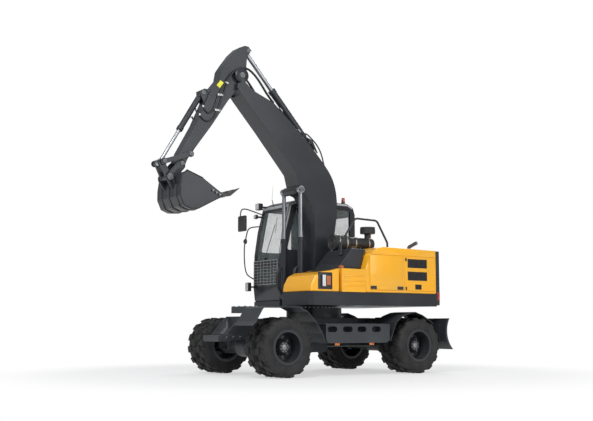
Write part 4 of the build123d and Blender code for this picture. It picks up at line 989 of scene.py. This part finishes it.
# Inside the cab: levers, pedals and a screen
leverLook = {
    "spread": 0.310,
    "grip": ((0.0, 0.0), (0.0, 0.016), (0.030, 0.026), (0.085, 0.024), (0.105, 0.012), (0.108, 0.0)),
    "pedalSpread": 0.075,
    "pedalHalf": 0.035,
    "screen": (
        ((0.245, -0.420, 1.880), (0.285, -0.350, 1.900), 0.004),
        ((0.240, -0.480, 1.890), (0.262, -0.350, 2.000), 0.006),
    ),
}
look = leverLook
mesh = bmesh.new()
for side in bothSides:
    y = cabLook["middle"] + side * look["spread"]
    rod(mesh, (-0.170, y, 1.780), (-0.150, y, 1.880), 0.012, 16)
    turned(mesh, look["grip"], (-0.150, y, 1.875), (0.12, 0, 1), 20)
    slab(mesh, (-0.215, y - 0.045, 1.780), (-0.125, y + 0.045, 1.792), 0.004)
    y = cabLook["middle"] + side * look["pedalSpread"]
    slab(mesh, (0.215, y - look["pedalHalf"], 1.245), (0.300, y + look["pedalHalf"], 1.275), 0.006)
for row in look["screen"]:
    slab(mesh, *row)
newPiece("cabLevers", mesh, "upper", blackPlastic)
print("cab inside")

# Hood: louvres in the grille door and the lid's handle
grilleLook = {
    # left, right, low and high edge, slats and upright bars
    "openings": (
        (-1.514, -1.092, 1.708, 1.853, 9, 3),
        (-1.514, -1.092, 1.502, 1.647, 9, 3),
        (-1.389, -1.251, 1.357, 1.440, 5, 1),
    ),
    "slatY": 1.0995,
    "slatSize": (0.011, 0.0035),
    "lean": Matrix.Rotation(math.radians(-38), 3, "X").to_quaternion(),
    "border": 0.008,
}
look = grilleLook
mesh, back = bmesh.new(), bmesh.new()
for left, right, low, high, slats, bars in look["openings"]:
    slab(back, (left, 1.0945, low), (right, 1.0960, high))
    for z in spaced(low, high, slats, ends=False):
        size = (right - left - 0.004, *look["slatSize"])
        block(mesh, ((left + right) / 2, look["slatY"], z), size, look["lean"])
    for count in range(bars):
        x = left + (right - left) * (count + 1) / (bars + 1)
        slab(mesh, (x - 0.004, 1.0965, low + 0.001), (x + 0.004, 1.1035, high - 0.001))
    for x0, x1, z0, z1 in border(left, right, low, high, look["border"]):
        slab(mesh, (x0, 1.096, z0), (x1, 1.1055, z1), 0.0015)
newPiece("grilleSlats", mesh, "radiator_door", blackPlastic)
newPiece("grilleScreen", back, "radiator_door", hoseRubber, "black_plastic")

handleLook = {"x": -1.136, "lidTop": 2.047, "barTop": 2.077, "feet": (0.020, 0.260), "bar": (0.012, 0.268)}
look = handleLook
x, foot, top = look["x"], look["lidTop"], look["barTop"]
rods = [((x, y, foot), (x, y, top), 0.006, 12) for y in look["feet"]]
rods.append(((x, look["bar"][0], top), (x, look["bar"][1], top), 0.007, 12))
trimPiece("lidHandle", "lid", blackPlastic, (), rods)

# Tail: a lamp at each side and the eye bolts' rims
mesh = bmesh.new()
for side in bothSides:
    slab(mesh, (-1.795, side * 1.095, 1.180), (-1.735, side * 1.1035, 1.330), 0.004)
    eyeRim = ((0.0, 0.016), (0.0, 0.034), (0.005, 0.032), (0.005, 0.016))
    turned(mesh, eyeRim, (-1.850, side * 0.600, 2.0085), (0, 0, 1), 28, closed=True)
newPiece("tailLampFeet", mesh, "upper", blackPlastic)
slabs = [((-1.788, side * 1.100, 1.190), (-1.742, side * 1.109, 1.320), 0.004) for side in bothSides]
trimPiece("tailLamps", "upper", redLens, slabs)

# Air cleaner: bands, a pressed end cap and fins under the mushroom cap
airLook = {
    # x, y, z and radius
    "bands": (
        (-0.110, 0.470, 2.117, 0.131), (-0.260, 0.470, 2.117, 0.131), (-0.520, 0.400, 2.130, 0.099),
        (-0.800, 0.400, 2.130, 0.099),
    ),
    "band": ((-0.012, -0.0015), (-0.012, 0.0015), (0.0, 0.0035), (0.012, 0.0015), (0.012, -0.0015)),
    "endCap": (-0.040, 0.470, 2.117, 0.130),
    # along and share of the cap's radius
    "dish": (
        (0.0, 0.0), (0.001, 0.30), (0.012, 0.36), (0.012, 0.52), (0.002, 0.60), (0.002, 0.80), (0.010, 0.86),
        (0.010, 0.97), (0.0, 0.995),
    ),
    "mushroom": (-0.830, 0.400, 2.304, 0.125),
    "fins": 36,
    "exhaustEnd": (-1.650, 0.700, 2.170),
    "exhaustAim": (-0.170, 0, 0.080),
    "exhaustLip": ((0.0, 0.0325), (0.030, 0.0325), (0.030, 0.030), (0.0, 0.030)),
}
look = airLook
mesh = bmesh.new()
for x, y, z, radius in look["bands"]:
    ring = [(along, radius + lift) for along, lift in look["band"]]
    turned(mesh, ring, (x, y, z), (1, 0, 0), 48, closed=True)
    y, z = y + radius * 0.60, z + radius * 0.74
    slab(mesh, (x - 0.016, y, z), (x + 0.016, y + 0.05, z + 0.020), 0.004)
newPiece("cleanerBands", mesh, "upper", zincSteel)
mesh = bmesh.new()
x, y, z, radius = look["endCap"]
turned(mesh, scaled(look["dish"], radius), (x, y, z), (1, 0, 0), 48)
x, y, z, radius = look["mushroom"]
for off in circle(look["fins"], radius - 0.001, level=True):
    spot = Vector((x, y, z)) + off
    rod(mesh, spot + Vector((0, 0, 0.012)), spot + Vector((0, 0, 0.070)), 0.004, 6)
ring = ((0.0, radius), (0.004, radius + 0.004), (0.010, radius))
turned(mesh, ring, (x, y, z + 0.075), (0, 0, 1), 48, closed=True)
newPiece("cleanerCaps", mesh, "upper", blackPlastic)
mesh = bmesh.new()
aim = Vector(look["exhaustAim"]).normalized()
turned(mesh, look["exhaustLip"], Vector(look["exhaustEnd"]) - aim * 0.026, aim, 32, closed=True)
newPiece("exhaustLip", mesh, "upper", wornSteel)

# Cover and boxes: grip strips on the nose box, slats and bolts on the dark cover, the filler cap
coverLook = {
    # each sloped top from its upper to its lower end
    "gripTops": (((0.330, 1.6488), (0.440, 1.6198)), ((0.455, 1.6168), (0.635, 1.5942))),
    "grips": 5,
    "face": ((0.200, 1.720), (-0.040, 1.985)),
    "faceLength": 0.357,
    "middleY": 0.660,
    "slats": 7,
    "slatStep": 0.036,
    "slatSize": (0.018, 0.460, 0.008),
    "boltY": (0.375, 0.945),
    "boltShares": (0.08, 0.92),
    "filler": ((0.0, 0.0), (0.0, 0.052), (0.022, 0.050), (0.030, 0.044), (0.032, 0.0)),
}
look = coverLook
slabs = []
for (x0, z0), (x1, z1) in look["gripTops"]:
    places = zip(spaced(x0, x1, look["grips"], ends=False), spaced(z0, z1, look["grips"], ends=False))
    for x, z in places:
        slabs.append(((x - 0.006, 0.450, z - 0.003), (x + 0.006, 1.000, z + 0.0035), 0.002))
trimPiece("gripStrips", "upper", blackPlastic, slabs)
mesh = bmesh.new()
x, z = look["face"][0]
run = heading(*look["face"])
outward = -leftOf(run)
for count in range(look["slats"]):
    middle = Vector((x, look["middleY"], z)) + run * (0.060 + look["slatStep"] * count) + outward * 0.001
    block(mesh, middle, look["slatSize"], run.to_track_quat("X", "Z"), 0.002, 1)
for y in look["boltY"]:
    for share in look["boltShares"]:
        bolt(mesh, Vector((x, y, z)) + run * (share * look["faceLength"]), outward, 0.022, 0.009)
newPiece("coverTrim", mesh, "upper", blackPlastic)
mesh = bmesh.new()
turned(mesh, look["filler"], (-0.150, 0.860, 1.985), (0, 0, 1), 36)
slab(mesh, (-0.188, 0.852, 2.014), (-0.112, 0.868, 2.026), 0.004)
newPiece("fillerCap", mesh, "upper", blackPlastic)

# Handrail's feet
feetLook = {
    "spots": ((0.064, 0.830, 1.893), (-0.896, 0.830, 2.0215)),
    "foot": ((0.0, 0.0), (0.0, 0.040), (0.008, 0.038), (0.010, 0.018), (0.016, 0.0175), (0.016, 0.0)),
}
mesh = bmesh.new()
for spot in feetLook["spots"]:
    turned(mesh, feetLook["foot"], spot, (0, 0, 1), 28)
newPiece("railFeet", mesh, "upper", charcoalPaint)
print("deck trim")

# Boom: pipes on its back, hose loops down its sides and the nuts where the loops start
pipeLook = {
    "radius": 0.008,
    "sideY": (0.148, 0.168),
    "back": (
        (-0.350, 2.700), (-0.344, 2.868), (-0.311, 3.072), (-0.228, 3.271), (-0.030, 3.498), (0.293, 3.828),
        (0.961, 4.380),
    ),
    "lift": 0.0095,
    # each loop's distance from the middle plane and its side line
    "loops": (
        (0.124, (
            (0.275, 3.800), (0.306, 3.915), (0.250, 3.950), (0.165, 3.898), (0.025, 3.785), (-0.062, 3.655),
            (-0.112, 3.500), (-0.165, 3.300),
        )),
        (0.112, (
            (0.225, 3.760), (0.252, 3.868), (0.205, 3.882), (0.118, 3.800), (0.052, 3.700), (0.024, 3.600),
            (0.010, 3.500),
        )),
    ),
    "loopRadius": 0.012,
}


def lifted(line, lift):
    # the side line moved off the boom's back
    moved = []
    for count, (x, z) in enumerate(line):
        run = heading(line[max(count - 1, 0)], line[min(count + 1, len(line) - 1)])
        moved.append((x - run.z * lift, z + run.x * lift))
    return moved


look = pipeLook
pipe = lifted(look["back"], look["lift"])
routes = [atSide(pipe, side * y) for side in bothSides for y in look["sideY"]]
hosePiece("boomPipes", routes, look["radius"], "boom_body", charcoalPaint)
routes = [atSide(line, side * y) for side in bothSides for y, line in look["loops"]]
hosePiece("boomLoops", routes, look["loopRadius"], "boom_body", hoseRubber)
mesh = bmesh.new()
for route in routes:
    spot = Vector(route[0])
    aim = (Vector(route[1]) - spot).normalized()
    rod(mesh, spot - aim * 0.030, spot + aim * 0.012, 0.017, 6)
newPiece("hoseNuts", mesh, "boom_body", zincSteel)
print("boom pipes")

# Chassis: bolts on the cover, the nose and the slewing ring, and the brake lines
chassisLook = {
    "coverX": (1.235, 1.443),
    "coverY": (-0.170, 0.0, 0.170),
    "coverTop": 1.069,
    "noseBolts": ((1.560, 0.600), (1.680, 0.600), (1.800, 0.592)),
    "noseY": 0.230,
    "ringBolts": 40,
    "ringRadius": 0.428,
    "ringTop": 1.055,
    "brakeLine": (
        (1.300, 0.160, 0.545), (1.200, 0.200, 0.600), (1.050, 0.236, 0.640), (0.500, 0.238, 0.640),
        (-0.500, 0.238, 0.640), (-1.050, 0.236, 0.640), (-1.200, 0.180, 0.600), (-1.290, 0.160, 0.545),
    ),
    "brakeRadius": 0.006,
}
look = chassisLook
mesh = bmesh.new()
for x in look["coverX"]:
    for y in look["coverY"]:
        bolt(mesh, (x, y, look["coverTop"]), (0, 0, 1), 0.026, 0.011)
for side in bothSides:
    for x, z in look["noseBolts"]:
        bolt(mesh, (x, side * look["noseY"], z), (0, side, 0), 0.026, 0.011)
for off in circle(look["ringBolts"], look["ringRadius"], level=True):
    bolt(mesh, off + Vector((0, 0, look["ringTop"])), (0, 0, 1), 0.022, 0.012)
newPiece("chassisBolts", mesh, "chassis", zincSteel)
routes = [[(x, side * y, z) for x, y, z in look["brakeLine"]] for side in bothSides]
hosePiece("brakeLines", routes, look["brakeRadius"], "chassis", hoseRubber)

# Steps: round-nosed grip bars on the ledges and the amber reflectors
stepLook = {"x": (-0.640, 0.582), "y": (0.905, 1.120), "top": 0.797, "treads": 18, "signX": (0.385, -0.290)}
look = stepLook
(low, high), (near, far), top = look["x"], look["y"], look["top"]
slabs = []
for side in bothSides:
    for x in spaced(low, high, look["treads"], ends=False):
        slabs.append(((x - 0.006, side * near, top - 0.002), (x + 0.006, side * far, top + 0.004), 0.0018))
trimPiece("stepGrips", "chassis", wornSteel, slabs, slot="dark_paint")
slabs = [
    ((x - 0.045, side * 1.1380, 0.470), (x + 0.045, side * 1.1495, 0.504), 0.004)
    for side in bothSides for x in look["signX"]
]
trimPiece("reflectors", "chassis", amberLens, slabs)
print("chassis trim")

# Blade: the bolts along its cutting edge
bladeLook = {"bolts": 10, "halfWidth": 1.050, "x": -1.993, "z": 0.455}
look = bladeLook
mesh = bmesh.new()
for y in spaced(-look["halfWidth"], look["halfWidth"], look["bolts"]):
    bolt(mesh, (look["x"], y, look["z"]), (-1, 0, 0.35), 0.028, 0.012)
newPiece("bladeBolts", mesh, "dozer_blade", wornSteel)
print("blade trim")

# Softer edges: a copy of each plain solid with its long sharp corners rounded stands for it
cabProfile = (
    (0.440, 1.180), (0.469, 1.414), (0.454, 1.968), (0.389, 2.382), (0.309, 2.675), (0.277, 2.823),
    (0.082, 2.900), (-0.955, 2.900), (-1.079, 2.839), (-1.125, 2.712), (-1.125, 1.180),
)
hoodProfile = (
    (-1.724, 1.290), (-0.218, 1.290), (-0.218, 1.661), (-0.267, 1.819), (-0.348, 1.941), (-0.464, 2.006),
    (-0.600, 2.030), (-1.724, 2.015),
)
bucketProfile = (
    (2.600, 3.085), (2.685, 3.010), (2.712, 2.826), (2.712, 2.681), (2.647, 2.541), (2.528, 2.495),
    (2.395, 2.504), (2.191, 2.612), (1.985, 2.721), (1.970, 2.765), (2.327, 2.988),
)
edgeTable = (
    # node, body, rounding, shortest edge that gets it, only these side corners
    ("cab_frame", "upper", 0.026, 0.050, cabProfile),
    ("hood_shell", "upper", 0.022, 0.050, hoodProfile),
    ("counterweight", "upper", 0.016, 0.040, None),
    ("nose_box", "upper", 0.020, 0.050, None),
    ("tank_box", "upper", 0.008, 0.050, None),
    ("boom_cover", "upper", 0.016, 0.050, None),
    ("boom", "boom_body", 0.005, 0.060, None),
    ("stick", "stick_body", 0.005, 0.050, None),
    ("chassis_frame", "chassis", 0.006, 0.070, None),
    ("side_steps", "chassis", 0.005, 0.060, None),
    ("bucket", "bucket_body", 0.020, 0.040, bucketProfile),
)


def nearCorner(vert, corners):
    return any(abs(vert.co.x - x) < 0.001 and abs(vert.co.z - z) < 0.001 for x, z in corners)


def softCopy(node, body, rounding, shortest, corners):
    mesh = bmesh.new()
    mesh.from_mesh(nodes[node].data)
    bmesh.ops.remove_doubles(mesh, verts=mesh.verts, dist=1e-5)
    bmesh.ops.recalc_face_normals(mesh, faces=mesh.faces)
    leastAngle = math.radians(32 if corners is None else 8)
    picked = [
        line for line in mesh.edges
        if len(line.link_faces) == 2
        and line.calc_length() >= shortest
        and line.calc_face_angle_signed(0.0) >= leastAngle
        and (corners is None or all(nearCorner(vert, corners) for vert in line.verts))
    ]
    rounded(mesh, picked, rounding, 3)
    piece = newPiece(node + "_soft", mesh, body, nodes[node].data.materials[0], slotOfNode[node])
    even = piece.modifiers.new("flatFaces", "WEIGHTED_NORMAL")
    even.keep_sharp = True
    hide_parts(node)


for row in edgeTable:
    softCopy(*row)
print("softer edges on", len(edgeTable), "solids")

# The plain door and the lid: pressed sheets with rounded edges
panelTable = (
    # piece, node, body, lowest corner, highest corner
    ("sideDoorSkin", "side_door", "service_door", (-0.990, 1.088, 1.336), (-0.306, 1.104, 1.894)),
    ("lidSkin", "hood_lid", "lid", (-1.684, -0.234, 2.007), (-1.066, 0.514, 2.047)),
)
for name, node, body, low, high in panelTable:
    panel = trimPiece(name, body, yellowPaint, [(low, high, 0.005, 3)])
    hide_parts(node)

# Seat: a rigid pedestal with two padded cushions, blown up by cloth
seatLook = {
    "pedestal": ((-0.560, -0.865, 1.2255), (-0.280, -0.585, 1.590)),
    "bellows": ((-0.572, -0.877, 1.300), (-0.268, -0.573, 1.318)),
    "folds": 6,
    "foldStep": 0.045,
    "base": ((-0.655, -0.945, 1.606), (-0.185, -0.505, 1.706)),
    "back": ((-0.705, -0.935, 1.700), (-0.618, -0.515, 2.270)),
    "round": 0.034,
    "voxel": 0.006,
    "pressure": 4.0,
    "swell": 0.014,
    "frames": 20,
}


def evaluated(piece):
    return bpy.data.meshes.new_from_object(piece.evaluated_get(bpy.context.evaluated_depsgraph_get()))


def cushion(name, low, high, look):
    mesh = bmesh.new()
    slab(mesh, low, high, look["round"], 4)
    pad = newPiece(name, mesh, "upper", seatCloth, smooth=60.0)
    remesh = pad.modifiers.new("remesh", "REMESH")
    remesh.mode = "VOXEL"
    remesh.voxel_size = look["voxel"]
    shape = evaluated(pad)
    pad.modifiers.clear()
    pad.data = shape
    start = [vert.co.copy() for vert in shape.vertices]
    cloth = pad.modifiers.new("cloth", "CLOTH")
    cloth.settings.use_pressure = True
    cloth.settings.uniform_pressure_force = look["pressure"]
    cloth.settings.effector_weights.gravity = 0.0
    cloth.settings.quality = 4
    cloth.point_cache.frame_end = look["frames"]
    for step in range(look["frames"]):
        scene.frame_set(step + 1)
    settled = evaluated(pad)
    for vert, was in zip(settled.vertices, start):
        move = vert.co - was
        if move.length > look["swell"]:
            vert.co = was + move.normalized() * look["swell"]
    pad.modifiers.clear()
    pad.data = settled
    scene.frame_set(1)
    for face in pad.data.polygons:
        face.use_smooth = True
    finer = pad.modifiers.new("finer", "SUBSURF")
    finer.levels = 1
    finer.render_levels = 1


look = seatLook
mesh = bmesh.new()
slab(mesh, *look["pedestal"], 0.010)
low, high = (Vector(corner) for corner in look["bellows"])
for count in range(look["folds"]):
    lift = Vector((0, 0, look["foldStep"] * count))
    slab(mesh, low + lift, high + lift, 0.006)
low, high = (Vector(corner) for corner in look["back"])
foot, top = low + Vector((-0.018, 0.030, -0.040)), Vector((low.x + 0.004, high.y - 0.030, high.z - 0.030))
slab(mesh, foot, top, 0.008)
low, high = (Vector(corner) for corner in look["base"])
foot, top = low + Vector((0.010, 0.020, -0.014)), Vector((high.x - 0.020, high.y - 0.020, low.z + 0.006))
slab(mesh, foot, top, 0.005)
pedestal = newPiece("seatPedestal", mesh, "upper", blackPlastic)
cushion("seatBase", *look["base"], look)
cushion("seatBack", *look["back"], look)
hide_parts("cab_seat")
print("seat")


# Stage, camera and light
stageLook = {
    "cameraAt": (9.21, 12.77, 0.77),
    "lens": 57.5,
    "target": (0.35, 0.0, 2.66),
    "floor": (0.80, 0.80, 0.80),
    # metres from the middle where the floor starts to fade to white, and where it is white
    "shadowReach": 3.2,
    "whiteFrom": 5.5,
    "keyPower": 1150.0,
    "fillPower": 520.0,
    "rimPower": 600.0,
    "lampsAim": (0, 0, 2.0),
    "worldStrength": 0.42,
}


def floorFinish(look):
    # pale and shadowed near the machine, and plain white to the camera and in reflections further out
    matte = Finish("floorMatte")
    matte.set("Base Color", (*look["floor"], 1.0))
    matte.set("Roughness", 0.9)
    tree = matte.tree
    spread = matte.node("ShaderNodeVectorMath", {"operation": "LENGTH"}, {0: matte.place}, "Value")
    middle = (look["shadowReach"] + look["whiteFrom"]) / 2
    far = spread.above(middle, look["whiteFrom"] - middle)
    path = tree.nodes.new("ShaderNodeLightPath")
    camera, glossy, through = (
        Wire(matte, path.outputs[kind]) for kind in ("Is Camera Ray", "Is Glossy Ray", "Is Transmission Ray")
    )
    seen = camera + glossy + through
    white = tree.nodes.new("ShaderNodeEmission")
    mixed = tree.nodes.new("ShaderNodeMixShader")
    tree.links.new(((far * 0.45 + 0.55) * seen).socket, mixed.inputs[0])
    tree.links.new(matte.shader.outputs[0], mixed.inputs[1])
    tree.links.new(white.outputs[0], mixed.inputs[2])
    tree.links.new(mixed.outputs[0], tree.nodes["Material Output"].inputs["Surface"])
    return matte.material


def buildStage():
    look = stageLook
    floorMesh = bmesh.new()
    bmesh.ops.create_grid(floorMesh, x_segments=1, y_segments=1, size=60.0)
    data = bpy.data.meshes.new("floor")
    floorMesh.to_mesh(data)
    floorMesh.free()
    floor = bpy.data.objects.new("floor", data)
    floor.location = (0, 0, -0.001)
    scene.collection.objects.link(floor)
    data.materials.append(floorFinish(look))

    cameraData = bpy.data.cameras.new("camera")
    cameraData.lens = look["lens"]
    camera = bpy.data.objects.new("camera", cameraData)
    camera.location = look["cameraAt"]
    aim = Vector(look["target"]) - camera.location
    camera.rotation_euler = aim.to_track_quat("-Z", "Y").to_euler()
    scene.collection.objects.link(camera)
    scene.camera = camera

    for name, at, size, power in (
        ("keyLight", (9.0, 7.5, 10.0), 6.0, look["keyPower"]),
        ("fillLight", (-3.0, 13.0, 6.0), 8.0, look["fillPower"]),
        ("rimLight", (-9.0, -7.0, 9.0), 6.0, look["rimPower"]),
    ):
        lampData = bpy.data.lights.new(name, "AREA")
        lampData.size = size
        lampData.energy = power
        lamp = bpy.data.objects.new(name, lampData)
        lamp.location = at
        lamp.rotation_euler = (Vector(look["lampsAim"]) - Vector(at)).to_track_quat("-Z", "Y").to_euler()
        scene.collection.objects.link(lamp)

    world = bpy.data.worlds.new("studio")
    scene.world = world
    world.use_nodes = True
    tree = world.node_tree
    soft = tree.nodes["Background"]
    soft.inputs["Color"].default_value = (0.92, 0.95, 1.0, 1.0)
    soft.inputs["Strength"].default_value = look["worldStrength"]
    white = tree.nodes.new("ShaderNodeBackground")
    white.inputs["Color"].default_value = (1, 1, 1, 1)
    path = tree.nodes.new("ShaderNodeLightPath")
    direct = tree.nodes.new("ShaderNodeMath")
    direct.operation = "MAXIMUM"
    tree.links.new(path.outputs["Is Camera Ray"], direct.inputs[0])
    tree.links.new(path.outputs["Is Transmission Ray"], direct.inputs[1])
    mix = tree.nodes.new("ShaderNodeMixShader")
    tree.links.new(direct.outputs[0], mix.inputs[0])
    tree.links.new(soft.outputs[0], mix.inputs[1])
    tree.links.new(white.outputs[0], mix.inputs[2])
    tree.links.new(mix.outputs[0], tree.nodes["World Output"].inputs["Surface"])
    scene.view_settings.view_transform = "Standard"


buildStage()
print("stage, camera and light")
